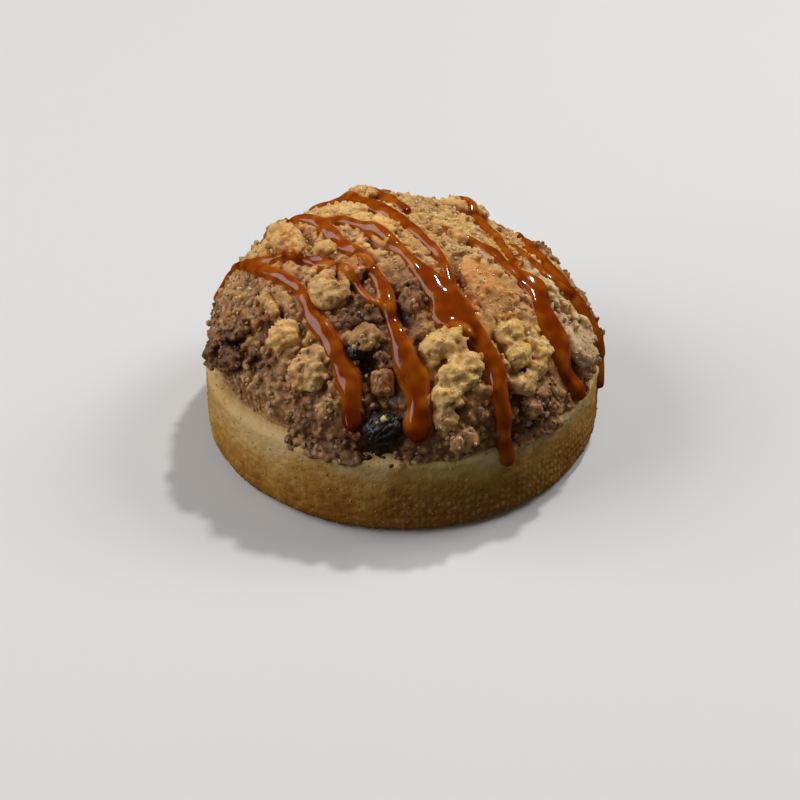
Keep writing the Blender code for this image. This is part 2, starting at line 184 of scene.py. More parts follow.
def linesOf(points):
    # back from points to azimuth and elevation in degrees, near enough for painting
    rel = np.asarray(points) / mm - (0, 0, tartShape["shellHeight"])
    rise = np.clip(rel[:, 2] / tartShape["heapRise"], 0, None)
    rel[:, 0] -= tartShape["heapLean"] * rise ** 1.5
    lines = unit(rel)
    azimuth = np.degrees(np.arctan2(lines[:, 0], -lines[:, 1]))
    return azimuth, np.degrees(np.arcsin(np.clip(lines[:, 2], -1, 1)))


def heightOverHeap(points):
    # millimetres above the smooth heap, negative in the crevices
    azimuth, elevation = linesOf(points)
    lines = direction(azimuth, elevation)
    return ((points - heapPoint(lines)) * heapNormal(lines)).sum(1) / mm


def setback(azimuth, elevation):
    # how far the heap's foot stands back from the rim, in mm
    mean, extra, middle, spread = tartShape["setback"]
    apart = (azimuth - middle + 180) % 360 - 180
    fading = np.clip(1 - elevation / 10, 0, None)  # from the rim up to 10 degrees above it
    return (mean + extra * np.exp(-((apart / spread) ** 2))) * fading


shellLook = {
    "sides": 520,
    "wallRows": 34,
    "unevenness": 0.26,  # heights of the three sizes of relief
    "lumps": 0.16,
    "grain": 0.10,
    "looseGrains": 420,
    "grainSize": (0.25, 0.6),
    "shadedFront": (12, 42, 0.35),  # painted shade on the front: azimuth, spread, amount
    "floorTop": 5.0,
    "rimFlatness": 0.8,  # height of the rim's rounding as a share of its half width
}


def shellProfile():
    # radius and height of each step of the shell's outline, from under the foot over the rim to the inside
    shape = tartShape
    radius, height, foot = shape["shellRadius"], shape["shellHeight"], shape["footRound"]
    inner = radius - shape["shellWall"]
    middle, half = (radius + inner) / 2, shape["shellWall"] / 2
    rise = half * shellLook["rimFlatness"]
    top = height - rise
    floorTop = shellLook["floorTop"]
    quarter, over = np.linspace(0, math.pi / 2, 9), np.linspace(0, math.pi, 19)[1:]
    steps = [(radius - foot * (1 - math.sin(a)), foot * (1 - math.cos(a))) for a in quarter]
    steps += [(radius, z) for z in np.linspace(foot, top, shellLook["wallRows"])[1:]]
    steps += [(middle + half * math.cos(a), top + rise * math.sin(a)) for a in over]
    steps += [(inner, floorTop + 8.0), (inner, floorTop + 2.0), (inner - 2.0, floorTop)]
    return steps


def buildShell():
    deselectAll()
    steps = shellProfile()
    bpy.ops.mesh.primitive_circle_add(vertices=shellLook["sides"], radius=steps[0][0] * mm, fill_type="NGON")
    shell = bpy.context.object
    shell.name = "shortcrustShell"
    bpy.ops.object.mode_set(mode="EDIT")
    bpy.ops.mesh.flip_normals()
    radius, height = steps[0]
    for nextRadius, nextHeight in steps[1:]:  # each step of the profile is one extrude of the top face
        bpy.ops.mesh.extrude_region_move(TRANSFORM_OT_translate={"value": (0, 0, (nextHeight - height) * mm)})
        share = nextRadius / radius
        bpy.ops.transform.resize(value=(share, share, 1), center_override=(0, 0, 0))
        radius, height = nextRadius, nextHeight
    bpy.ops.mesh.select_all(action="SELECT")
    bpy.ops.mesh.normals_make_consistent(inside=False)
    bpy.ops.object.mode_set(mode="OBJECT")

    points = readPoints(shell) / mm
    angle = np.arctan2(points[:, 1], points[:, 0])
    z = points[:, 2].copy()
    share = np.clip((z - 10) / 10, 0, 1)
    outward = np.stack([np.cos(angle), np.sin(angle), np.zeros_like(angle)], 1)
    wave = np.sin(3 * angle + 1.0) + 0.6 * np.sin(5 * angle)
    bulge = np.sin(2 * angle + 0.6) + 0.5 * np.sin(7 * angle + 2.0)
    points[:, 2] += tartShape["rimWave"] * wave * share
    points += outward * (0.3 * bulge * np.clip(z / tartShape["footRound"], 0, 1))[:, None]
    writePoints(shell, points * mm)

    for name, size in (("unevenness", 0.0055), ("lumps", 0.0019), ("grain", 0.0008)):
        roughen(shell, name, size, shellLook[name], floorKeep=True)
    shadeSmooth(shell)
    addWallMap(shell)
    points = readPoints(shell) / mm
    azimuth = np.degrees(np.arctan2(points[:, 0], -points[:, 1]))
    # painted shade: the front of the wall is darker, most of all low down
    middle, spread, amount = shellLook["shadedFront"]
    front = np.exp(-(((azimuth - middle) / spread) ** 2))
    addFloat(shell, "frontShade", amount * front * smoothStep(19, 10, points[:, 2]))
    return shell


def roughen(piece, name, size, strength, kind="CLOUDS", floorKeep=False):
    # pushes a piece's surface in and out by a noise of that size, strength in mm
    texture = bpy.data.textures.new(name, kind)
    texture.noise_scale = size
    if kind == "CLOUDS":
        texture.noise_depth = 2
    modifier = piece.modifiers.new(name, "DISPLACE")
    modifier.texture = texture
    modifier.texture_coords = "LOCAL"
    modifier.strength = strength * 2 * mm
    modifier.mid_level = 0.5
    if floorKeep:
        above = np.nonzero(readPoints(piece)[:, 2] >= 0.2 * mm)[0]
        piece.vertex_groups.new(name="aboveFloor").add(above.tolist(), 1.0, "REPLACE")
        modifier.vertex_group = "aboveFloor"
    applyModifiers(piece)
    if floorKeep:
        piece.vertex_groups.clear()
    bpy.data.textures.remove(texture)


def addWallMap(piece):
    # unrolls the wall, in millimetres: round the shell, and up the profile
    layer = piece.data.uv_layers.new(name="wallMap")
    points = readPoints(piece) / mm
    loops = np.empty(len(piece.data.loops), np.int64)
    piece.data.loops.foreach_get("vertex_index", loops)
    x, y, z = points[loops].T
    around = np.arctan2(x, -y) * tartShape["shellRadius"]
    inward = tartShape["shellRadius"] - np.hypot(x, y)
    layer.data.foreach_set("uv", np.stack([around, z + inward], 1).ravel())


def buildCrustGrains(shell):
    # small grains on the rim and along the foot
    rng = np.random.default_rng(8)
    shapes = [modelLump(f"crustGrain{i}", 1, i + 61, 2, 0.05) for i in range(4)]
    points, normals = readPoints(shell), readNormals(shell)
    outside = np.hypot(points[:, 0], points[:, 1]) > 0.0425
    foot = np.nonzero(outside & (points[:, 2] > 0.0004) & (points[:, 2] < 0.0022))[0]
    wall = np.nonzero(outside & (points[:, 2] > 0.0022))[0]
    count = shellLook["looseGrains"]
    places = []
    for i in [*rng.choice(foot, count // 3), *rng.choice(wall, count * 2 // 3)]:
        size = rng.uniform(*shellLook["grainSize"]) * mm
        at = points[i] + normals[i] * size * 0.1
        at[2] = max(at[2], size * 0.45)
        places.append((rng.integers(4), at, randomTurn(rng), np.array((1, 0.8, 0.7)) * size))
    grains = joinedCopies("crustGrains", shapes, places)
    shadeSmooth(grains)
    return grains


crumbleLook = {
    "voxel": 0.36,  # mesh size of the joined crumbs
    "bedDepth": 0.55,  # how far the core lies under the heap's smooth surface
    "bedCrumbs": 4600,
    "bedSize": (1.0, 3.3),
    "bedLumps": 330,
    "lumpSize": (2.3, 4.6),
    "crumbSink": 0.24,  # share of its size that a crumb is pressed in by
    "toneSpread": 0.12,
    "creviceDepth": 1.7,
    "creviceWidth": 0.6,
    "creviceClear": 9.0,  # no crumb where crevice depth in mm times elevation is over this
    "butterCrumbs": 1500,
    "butterSize": (1.3, 4.2),
    "clusterSize": (1.0, 3.0),  # grains that stand out of a large crumb
    "clusterCount": 0.60,  # of them for each square millimetre
    "rimCrumbs": 620,
    "looseGrains": 4600,
    "grainSize": (0.35, 0.90),  # on the butter crumbs
    "bitSize": (0.75, 2.10),  # on the bed
    "seed": 11,
    "mostTriangles": 192000,
}

# where the crumble looks pale or brown, the darkest patches, near 0 and below, being painted shade in the
# gaps and crevices: azimuth, elevation, radius, and the tone there
crumblePatches = (
    (-100, 42, 7, 0.84), (-90, 54, 7, 0.86), (-140, 70, 6, 0.95), (-46, 86, 6, 0.95), (-42, 50, 6, 0.74),
    (-31, 47, 5, 0.74), (-32, 66, 4, 0.55), (-43, 29, 4, 0.95), (-26, 27, 5, 0.74), (-28, 21, 4, 0.78),
    (-88, 24, 4, 0.62), (-67, 34, 4, 0.48), (-58, 33, 3, 0.62), (-16, 35, 3.5, 0.66), (-39, 9, 4, 0.60),
    (-20, 13, 4, 0.62), (158, 47, 3, 0.60), (146, 45, 2.5, 0.85), (135, 45, 4, 0.80), (81, 66, 3, 0.72),
    (96, 60, 3, 0.80), (17, 42, 3.5, 0.46), (20, 32, 6, 0.90), (21, 22, 5, 1.02), (14, 16, 4, 0.92),
    (55, 45, 9, 0.82), (47, 27, 5, 0.98), (57, 23, 4, 0.98), (38, 22, 4, 0.86), (41, 17, 4, 0.62),
    (82, 29, 7, 1.00), (70, 20, 8, 0.96), (43, 9, 4, 0.56), (112, 22, 8, 0.78), (-75, 22, 6, 0.56),
    (-58, 22, 5, 0.50), (-44, 18, 5, 0.66), (-40, 3, 6, 0.52), (-62, 4, 6, 0.44), (-66, 15, 4, 0.16),
    (-54, 17, 3, 0.14), (-52, 29, 2.5, 0.10), (-18, 43, 7, 0.04), (-12, 40, 6, 0.10), (-46, 40, 4, 0.50),
    (-54, 47, 4, 0.56), (-20, 50, 4, 0.36), (8, 52, 5, 0.26), (-14, 31, 2.5, 0.05), (-8, 25, 5, 0.16),
    (-5, 11, 6, 0.12), (-34, 15, 2.5, 0.34), (-27, 9, 6, 0.36), (-23, 2, 5, 0.38), (-44, 10, 5, 0.44),
    (-16, 1, 5, 0.30), (126, 65, 2, 0.20), (16, 53, 4, 0.34), (9, 37, 4, 0.18), (53, 12, 4, 0.36),
    (38, 6, 4, 0.24), (72, 9, 4, 0.50), (17, 11, 5, 0.32), (22, 4, 5, 0.34), (10, 6, 5, 0.28),
    (53, 2, 4, 0.34), (-13, 7, 3, 0.30), (3, 22, 3, 0.20), (-7, 0, 4, -0.20), (-9, 34, 3, 1.00),
    (38, 17, 4, 0.85), (43, 19, 3, 0.85), (15, 7, 5, 0.85), (-49, 9, 5, 0.62), (12, 43, 2.5, 0.50),
    (77, 24, 4, 1.10), (55, 5, 4, 0.75), (-83, 48, 3, 0.95), (-46, 36, 3, 0.25), (-64, 33, 3, 0.20),
    (-78, 34, 3, 0.35), (-44, 19, 3, 0.02), (-73, 78, 2.5, 0.50), (130, 62, 2.5, 0.35), (-1, 51, 2.5, 0.10),
    (20, 52, 2.5, 0.10), (59, 21, 3, 0.42), (-11, 42, 2.5, 0.05), (-30, 21, 4.5, 0.78), (25, 28, 2.5, 0.45),
    (-16, 0, 3, 0.30), (24, 1, 3, 0.20), (-61, 18, 3, 0.10), (-35, 27, 3, 0.72), (-43, 8, 3, 0.72),
    (-24, 15, 3, 0.62), (44, 1, 3, 0.50), (-6, 23.5, 2, 0.00), (-4, 50, 2.5, 0.25), (22, 39, 3, 0.45),
    (23, 9.5, 3, 0.40), (13, 60, 3, 0.40), (-27, 45.5, 2.5, 0.85), (40, 10, 3, 0.55),
)
# where it looks grey, and where it is toasted: azimuth, elevation, radius, and how much
greyPatches = (
    (82, 30, 8, 0.95), (70, 18, 8, 0.95), (85, 48, 6, 0.60), (10, 36, 5, 0.05), (16, 53, 4, 0.15),
    (-18, 43, 4, 0.10), (22, 4, 6, 0.26), (38, 6, 5, 0.30), (-25, 6, 7, 0.18), (-26, 26, 5, 0.12),
    (55, 45, 9, 0.0), (47, 25, 7, 0.0),
)
toastedPatches = (
    (55, 47, 5.0, 0.95), (-32, 66, 4, 0.55), (-34, 15, 2.6, 0.95), (-58, 33, 3, 0.45), (-13, 7, 3, 0.70),
    (-8, 25, 4, 0.50), (126, 65, 3, 0.60), (-52, 29, 3, 0.60), (96, 60, 2.5, 0.40), (-42, 31, 1.6, 0.45),
    (84, 38, 2.5, 0.25), (-88, 50, 5, 0.50), (57, 40, 6, 0.50), (8, 45, 4, 0.35),
)

# azimuth, elevation, length, width, height, turn, tone from 0 (brown) to 1 (pale yellow), roughness
largeCrumbs = (
    (56, 43, 20.0, 11.5, 5.0, 60, 0.76, 0.15),
    (46, 29, 6.6, 6.2, 5.8, 10, 0.98, 1.0),
    (44, 23, 6.4, 5.8, 5.6, 40, 0.95, 1.0),
    (52, 20, 6.8, 6.0, 6.0, 75, 1.00, 1.0),
    (47, 17, 5.2, 5.0, 5.0, 20, 0.85, 1.0),
    (21, 33, 12.5, 7.0, 5.2, 12, 0.90, 0.7),
    (22, 24, 11.0, 8.0, 6.2, 20, 0.96, 1.0),
    (15.5, 18, 6.8, 7.2, 6.0, 60, 0.98, 1.0),
    (13, 12, 5.6, 5.0, 5.0, 0, 0.66, 1.0),
    (-43, 29, 8.0, 6.8, 6.6, 80, 1.00, 1.0),
    (-34, 50, 10.0, 9.6, 5.2, 35, 0.78, 0.8),
    (-88, 52, 15.0, 7.6, 4.8, 10, 0.78, 0.8),
    (-142, 70, 8.0, 6.0, 2.2, 10, 0.90, 0.5),
    (5, 86, 11.0, 6.4, 3.4, 5, 0.96, 0.6),
    (-29, 23, 11.0, 9.0, 4.0, 70, 0.74, 0.5),
    (81, 31, 13.0, 8.0, 4.0, 50, 0.92, 0.4),
    (103, 59, 5.4, 5.0, 5.0, 15, 0.84, 0.8),
    (118, 66, 4.2, 4.0, 3.4, 50, 0.92, 0.8),
    (-60, 63, 6.0, 5.2, 4.2, 60, 0.86, 0.9),
    (-62, 35, 4.6, 4.2, 4.2, 0, 0.74, 0.8),
    (-54, 34, 4.4, 4.0, 4.2, 30, 0.70, 0.8),
    (150, 30, 12.0, 9.0, 5.2, 40, 0.85, 0.8),
    (-165, 45, 11.0, 8.0, 5.0, 75, 0.80, 0.8),
    (72, 13, 13.0, 11.0, 4.2, 55, 0.88, 0.3),
    (-66, 20, 8.4, 7.0, 4.8, 45, 0.14, 1.0),
    (-10, 36, 7.0, 6.2, 5.0, 20, 0.62, 1.0),
    (41, 15, 6.0, 5.4, 4.8, 30, 0.86, 1.0),
    (17, 5, 7.0, 5.0, 4.0, 10, 0.60, 1.0),
    (14, 49, 6.6, 5.6, 4.6, 65, 0.28, 1.0),
    (-61, 13, 8.0, 6.4, 5.0, 0, 0.10, 1.0),
    (-72, 8, 6.6, 5.8, 5.0, 85, 0.14, 1.0),
    (43, 8, 8.4, 6.2, 5.0, 25, 0.26, 1.0),
    (-24, 62, 8.0, 6.2, 4.6, 60, 0.62, 1.0),
    (-135, 18, 9.0, 8.0, 5.6, 15, 0.35, 1.0),
    (125, 12, 8.6, 7.0, 3.6, 60, 0.30, 1.0),
    (178, 14, 10.0, 7.6, 5.4, 20, 0.30, 1.0),
)
paleFrom = 0.64  # large crumbs of this tone and paler are the butter crumbs

# azimuth, elevation, radius, depth of the gaps between crumbs
gaps = (
    (-8.5, 27, 1.7, 3.0), (-53, 27, 2.1, 2.6), (-50, 17, 1.7, 2.4), (9, 43, 1.2, 1.8), (112, 66, 1.8, 2.4),
    (-10, 2, 2.4, 2.2), (-4, 2, 2.4, 2.2), (1, 44, 1.3, 2.0), (37, 13, 1.6, 2.2), (62, 9, 1.5, 2.0),
)

# azimuth, elevation, length, width, height, turn
raisinPlaces = ((-5.5, 9.5, 8.8, 7.6, 7.0, 20), (-13.5, 32, 5.2, 4.6, 4.6, 60), (152, 17, 8.8, 6.4, 6.2, 65))
applePlaces = ((-4.5, 22, 5.0, 5.8, 5.2, 6), (-172, 28, 7.0, 6.2, 5.6, 35))
fruitSink = 1.0  # how deep their middles lie under the heap's surface, in mm
# azimuth, elevation, lift, size, tone of the bits that lie on the fruit and along the rim
bitsOnFruit = (
    (-4.5, 12.0, 2.4, 1.5, 1.0), (-6.4, 11.0, 2.3, 0.8, 0.6), (-5.6, 25, 1.4, 1.8, 0.5),
    (-2.6, 20, 1.5, 1.6, 0.36), (-5.8, 19, 1.4, 1.3, 0.30), (-1.0, -0.5, -0.8, 2.6, 0.95),
    (3.0, 0.2, -1.0, 3.0, 0.90),
)


def modelLump(name, subdivisions, seed, cuts, uneven):
    # one broken crumb of 1 m, a ball with flats cut off it, to be copied at its true size
    rng = np.random.default_rng(seed)
    deselectAll()
    bpy.ops.mesh.primitive_ico_sphere_add(subdivisions=subdivisions, radius=0.5)
    lump = bpy.context.object
    lump.name = name
    bpy.ops.object.mode_set(mode="EDIT")
    bpy.ops.mesh.select_all(action="SELECT")
    bpy.ops.transform.vertex_random(offset=uneven, uniform=0.5, seed=seed)
    for _ in range(cuts):
        facing = unit(rng.normal(size=3))
        bpy.ops.mesh.select_all(action="SELECT")
        flat = facing * rng.uniform(0.28, 0.42)
        bpy.ops.mesh.bisect(plane_co=flat, plane_no=facing, use_fill=True, clear_outer=True)
    bpy.ops.mesh.select_all(action="SELECT")
    bpy.ops.mesh.quads_convert_to_tris()
    bpy.ops.object.mode_set(mode="OBJECT")
    points = readPoints(lump)
    points /= np.abs(points).max(0) * 2
    faces = [tuple(face.vertices) for face in lump.data.polygons]
    bpy.data.objects.remove(lump)
    return points, faces


def joinedCopies(name, shapes, places):
    # every place is (which shape, centre, axes as rows, size along each axis in metres)
    allPoints, allFaces, start = [], [], 0
    for which, centre, axes, size in places:
        points, faces = shapes[which]
        allPoints.append((points * size) @ axes + centre)
        allFaces.extend([tuple(i + start for i in face) for face in faces])
        start += len(points)
    return meshPiece(name, np.concatenate(allPoints), allFaces)


def randomTurn(rng):
    # a random turn in space
    q = rng.normal(size=4)
    w, x, y, z = q / np.linalg.norm(q)
    return np.array([
        [1 - 2 * (y * y + z * z), 2 * (x * y - z * w), 2 * (x * z + y * w)],
        [2 * (x * y + z * w), 1 - 2 * (x * x + z * z), 2 * (y * z - x * w)],
        [2 * (x * z - y * w), 2 * (y * z + x * w), 1 - 2 * (x * x + y * y)],
    ])


def keptFree():
    # places where no crumb may lie: centre, radius
    free = []
    for azimuth, elevation, length, width, height, turn in raisinPlaces + applePlaces:
        free.append((heapPoint(direction(azimuth, elevation))[0], (max(length, width) / 2 - 0.5) * mm))
    for azimuth, elevation, radius, depth in gaps:
        free.append((heapPoint(direction(azimuth, elevation))[0], radius * mm))
    return free


def patchField(patches, azimuth, elevation, ground):
    # a soft field over the heap that takes each patch's value near it
    here = heapPoint(direction(azimuth, elevation))
    total, weight = ground * 1.0, np.ones(len(here))
    for patchAzimuth, patchElevation, radius, value in patches:
        apart = np.linalg.norm(here - heapPoint(direction(patchAzimuth, patchElevation)), axis=1) / mm
        share = 6.0 * np.exp(-((apart / radius) ** 2) * 1.6)
        total = total + share * value
        weight = weight + share
    return total / weight


def tonesAt(azimuth, elevation):
    # brown low down and pale towards the top, with the patches seen
    return patchField(crumblePatches, azimuth, elevation, 0.36 + 0.38 * smoothStep(6, 40, elevation))


def greyAt(azimuth, elevation):
    return patchField(greyPatches, azimuth, elevation, 0.05 + 0.13 * smoothStep(30, 8, elevation))


def toastAt(azimuth, elevation):
    return patchField(toastedPatches, azimuth, elevation, np.full(len(np.atleast_1d(azimuth)), 0.06))


def clusterCrumbs(rng, crumb):
    # the grains that stand out of one large crumb: centres and sizes
    azimuth, elevation, length, width, height, turn, tone, rough = crumb
    line = direction(azimuth, elevation)[None]
    axes = heapAxes(line, turn)[0]
    centre = heapPoint(line)[0] + axes[2] * 0.2 * mm
    count = int(length * width * crumbleLook["clusterCount"] * rough)
    made = []
    for _ in range(count):
        spot = unit(rng.normal(size=3))
        spot[2] = abs(spot[2]) * 0.9 + 0.05
        size = rng.uniform(*crumbleLook["clusterSize"])
        half = np.array((length, width, height)) / 2 - 0.30 * size
        made.append((centre + (spot * half * mm) @ axes, size * mm))
    return made


def creviceDepth(points):
    # how far down the crevice round each large crumb goes, in mm
    depth = np.zeros(len(points))
    for number, (azimuth, elevation, length, width, height, turn, tone, rough) in enumerate(largeCrumbs):
        line = direction(azimuth, elevation)[None]  # each crumb's own length, width and height are its axes
        local = ((points - heapPoint(line)[0]) / mm) @ heapAxes(line, turn)[0].T
        around = np.arctan2(local[:, 1] / width, local[:, 0] / length)
        ring = (np.hypot(local[:, 0] / length, local[:, 1] / width) * 2 - 1.1) * min(length, width) / 2
        share = np.clip(0.5 + 0.6 * np.sin(2 * around + number * 1.7), 0, 1)  # deep on two of its sides only
        band = np.exp(-((ring / crumbleLook["creviceWidth"]) ** 2)) * (np.abs(local[:, 2]) < 8)
        depth = np.maximum(depth, crumbleLook["creviceDepth"] * share * band)
    return depth


def heapCore():
    # the smooth body under the crumbs, from a ball cut off at the rim
    deselectAll()
    bpy.ops.mesh.primitive_ico_sphere_add(subdivisions=6, radius=1.0)
    core = bpy.context.object
    core.name = "crumbleBed"
    points = readPoints(core)
    lines = unit(points)
    below = lines[:, 2] < 0
    flat = lines.copy()
    flat[below, 2] = 0
    flat = unit(np.where(np.abs(flat).sum(1, keepdims=True) < 1e-6, (1.0, 0, 0), flat))
    azimuth = np.degrees(np.arctan2(flat[:, 0], -flat[:, 1]))
    elevation = np.degrees(np.arcsin(np.clip(flat[:, 2], -1, 1)))
    surface = heapPoint(flat, -crumbleLook["bedDepth"])
    surface -= flat * (setback(azimuth, elevation) * mm)[:, None]
    surface -= flat * (creviceDepth(surface) * smoothStep(3, 12, elevation) * mm)[:, None]
    for gapAzimuth, gapElevation, radius, depth in gaps:
        apart = np.linalg.norm(surface - heapPoint(direction(gapAzimuth, gapElevation))[0], axis=1) / mm
        surface -= flat * (depth * np.exp(-((apart / (radius + 1.2)) ** 2)) * mm)[:, None]
    for azimuthHere, elevationHere, length, width, height, turn in raisinPlaces + applePlaces:
        apart = np.linalg.norm(surface - heapPoint(direction(azimuthHere, elevationHere))[0], axis=1) / mm
        surface -= flat * (2.0 * np.exp(-((apart / (length * 0.5)) ** 2)) * mm)[:, None]
    level = np.hypot(surface[:, 0], surface[:, 1])
    low = smoothStep(8, 0, elevation)  # down at the rim it always reaches the shell
    reach = np.maximum(level, 41.9 * mm)
    surface[:, :2] *= (1 + low * (reach / np.maximum(level, mm) - 1))[:, None]
    rest = surface[below]
    rest[:, :2] *= np.sqrt(np.clip(1 - lines[below, 2] ** 2, 0, 1))[:, None]
    rest[:, 2] = np.maximum(tartShape["shellHeight"] * mm + lines[below, 2] * 6.0 * mm, 0.0172)
    surface[below] = rest
    writePoints(core, surface)
    return core


def fuse(piece, voxel):
    makeActive(piece)
    remesh = piece.modifiers.new("fuse", "REMESH")
    remesh.mode = "VOXEL"
    remesh.voxel_size = voxel * mm
    remesh.use_smooth_shade = True
    applyModifiers(piece)


def limitTriangles(piece, most):
    triangles = len(piece.data.polygons) * 2
    if triangles > most:
        thin = piece.modifiers.new("thinOut", "DECIMATE")
        thin.ratio = most / triangles
        applyModifiers(piece)
        shadeSmooth(piece)


def scatterCrumbs(rng, put, kind, count, sizes, lifts, lowest, kept):
    # spreads crumbs evenly over the heap on a spiral, but for the fruit, the gaps and the crevices
    numbers = np.arange(count) + 0.5
    elevation = np.degrees(np.arcsin(lowest + (1 - lowest) * numbers / count))
    azimuth = (numbers * 137.508 + rng.uniform(-9, 9, count) + 180) % 360 - 180
    elevation = np.clip(elevation + rng.uniform(-1.5, 1.5, count), 0.5, 89.5)
    lines = direction(azimuth, elevation)
    centres = heapPoint(lines) - lines * (setback(azimuth, elevation) * mm)[:, None]
    normals = heapNormal(lines)
    size = sizes[0] + (sizes[1] - sizes[0]) * rng.beta(1.3, 2.4, count)
    local = tonesAt(azimuth, elevation)
    free = keptFree()
    freeCentres = np.array([centre for centre, radius in free])
    freeRadii = np.array([radius for centre, radius in free])
    crevice = creviceDepth(centres)
    for i in range(count):
        apart = np.linalg.norm(freeCentres - centres[i], axis=1)
        if (apart < freeRadii + size[i] * 0.35 * mm).any() or rng.random() > kept(local[i]):
            continue
        if crevice[i] * elevation[i] > crumbleLook["creviceClear"]:
            continue
        lift = rng.uniform(*lifts) - crumbleLook["crumbSink"] * size[i]
        centre = centres[i] + normals[i] * lift * mm
        tone = local[i] + rng.normal(0, crumbleLook["toneSpread"])
        put(kind, rng.integers(6), centre, randomTurn(rng), rng.uniform(0.72, 1.0, 3) * size[i] * mm, tone)


def buildCrumble():
    rng = np.random.default_rng(crumbleLook["seed"])
    shapes = [modelLump(f"lump{i}", 2, i + 1, 7, 0.03) for i in range(6)]
    shapes += [modelLump(f"bigLump{i}", 3, i + 21, 15, 0.02) for i in range(6)]
    places = {"bed": [], "butter": []}
    marks = {"bed": [], "butter": []}  # centre, tone and radius of each crumb, to paint the joined surface

    def put(kind, which, centre, axes, size, tone):
        places[kind].append((which, centre, axes, size))
        marks[kind].append((centre, tone, float(np.mean(size)) / 2))

    for number, crumb in enumerate(largeCrumbs):
        azimuth, elevation, length, width, height, turn, tone, rough = crumb
        kind = "butter" if tone >= paleFrom else "bed"
        line = direction(azimuth, elevation)[None]
        axes = heapAxes(line, turn)[0]
        sink = 0.35 + 1.2 * max(0.0, 1 - elevation / 14)
        centre = heapPoint(line)[0] + axes[2] * (0.1 - sink) * mm
        put(kind, 6 + number % 6, centre, axes, np.array((length, width, height)) * mm, tone)
        for at, size in clusterCrumbs(rng, crumb):
            grainShape = np.array((1, 0.85, 0.8)) * size
            put(kind, rng.integers(6), at, randomTurn(rng), grainShape, tone + rng.normal() * 0.10)

    for _ in range(crumbleLook["rimCrumbs"]):  # along the seam with the shell
        azimuth = rng.uniform(-180, 180)
        out = 44.0 - setback(azimuth, 0.0) + rng.normal() * 0.8
        if out > 44.6:
            continue
        inShadedGap = abs(azimuth + 7) < 5  # the gap under the front raisin: its crumbs sit lower and take a dark tone, painted shade
        size = rng.uniform(0.8, 2.2)
        share = np.clip((out - 42.4) / 2.6, -1, 1)
        top = 17.9 + 2.1 * math.sqrt(1 - share * share)
        at = direction(azimuth, 0.0) * out * mm + np.array((0, 0, (top + 0.15 * size - 0.6 * inShadedGap) * mm))
        tone = -0.15 if inShadedGap else 0.42 + rng.normal() * 0.16
        put("bed", rng.integers(6), at, randomTurn(rng), rng.uniform(0.62, 1.0, 3) * size * mm, tone)

    for low, high, count in ((-34, -12, 110), (33, 50, 60)):  # here they hang over the rim
        for _ in range(count):
            size = rng.uniform(1.1, 2.6)
            azimuth, out = rng.uniform(low, high), rng.uniform(42.8, 45.4)
            at = direction(azimuth, 0.0) * out * mm
            at[2] = (20.3 - 0.5 * max(0.0, out - 43.5) ** 2 + rng.uniform(-0.6, 0.3)) * mm
            which, turned, across = rng.integers(6), randomTurn(rng), rng.uniform(0.7, 1.0, 3) * size * mm
            put("bed", which, at, turned, across, 0.36 + rng.normal() * 0.15)

    look = crumbleLook
    scatterCrumbs(rng, put, "bed", look["bedCrumbs"], look["bedSize"], (-0.55, 0.30), 0.0, lambda tone: 1.0)
    scatterCrumbs(rng, put, "bed", look["bedLumps"], look["lumpSize"], (-0.25, 0.50), 0.0,
                  lambda tone: 1.3 - tone)
    scatterCrumbs(rng, put, "butter", look["butterCrumbs"], look["butterSize"], (-0.55, 0.30), 0.12,
                  lambda tone: max(0.04, (tone - 0.35) * 1.5))

    bedCrumbs = joinedCopies("bedCrumbs", shapes, places["bed"])
    bed = heapCore()
    makeActive(bed)
    bedCrumbs.select_set(True)
    bpy.ops.object.join()
    butter = joinedCopies("butterCrumbs", shapes, places["butter"])
    print("crumbs placed:", len(places["bed"]), "in the bed,", len(places["butter"]), "butter crumbs")

    for piece, kind in ((bed, "bed"), (butter, "butter")):
        fuse(piece, crumbleLook["voxel"])
        if kind == "bed":
            cutFlat(piece, 0.0186)
        relax(piece, 0.5, 1)
        roughen(piece, kind + "Clods", 0.0026, 0.20)
        roughen(piece, kind + "Granules", 0.0009, -0.07, kind="VORONOI")
        limitTriangles(piece, crumbleLook["mostTriangles"])
        paintTones(piece, marks[kind])
        print(piece.name, "has", len(piece.data.polygons), "faces")
    return bed, butter


def relax(piece, factor, times):
    smooth = piece.modifiers.new("relax", "SMOOTH")
    smooth.factor = factor
    smooth.iterations = times
    applyModifiers(piece)


def cutFlat(piece, height):
    # takes off what lies hidden in the shell, and closes the cut
    makeActive(piece)
    bpy.ops.object.mode_set(mode="EDIT")
    bpy.ops.mesh.select_all(action="SELECT")
    bpy.ops.mesh.bisect(plane_co=(0, 0, height), plane_no=(0, 0, 1), use_fill=True, clear_inner=True)
    bpy.ops.object.mode_set(mode="OBJECT")


def paintTones(piece, marks):
    tree = KDTree(len(marks))
    for i, (centre, tone, radius) in enumerate(marks):
        tree.insert(centre, i)
    tree.balance()
    points = readPoints(piece)
    tones = np.empty(len(points))
    for i, point in enumerate(points):
        nearest = 9.0
        for _, which, apart in tree.find_n(point, 5):
            centre, tone, radius = marks[which]
            if apart / radius < nearest:
                nearest = apart / radius
                tones[i] = tone
    azimuth, elevation = linesOf(points)
    height = heightOverHeap(points)
    addFloat(piece, "tone", evenOut(piece, tones, 1) * 0.6 + tonesAt(azimuth, elevation) * 0.4)
    addFloat(piece, "toast", toastAt(azimuth, elevation))
    addFloat(piece, "grey", greyAt(azimuth, elevation))
    # painted shade: how far each point lies below the mean of its neighbours, to darken the crevices
    addFloat(piece, "cavityShade", height - evenOut(piece, height, 40))


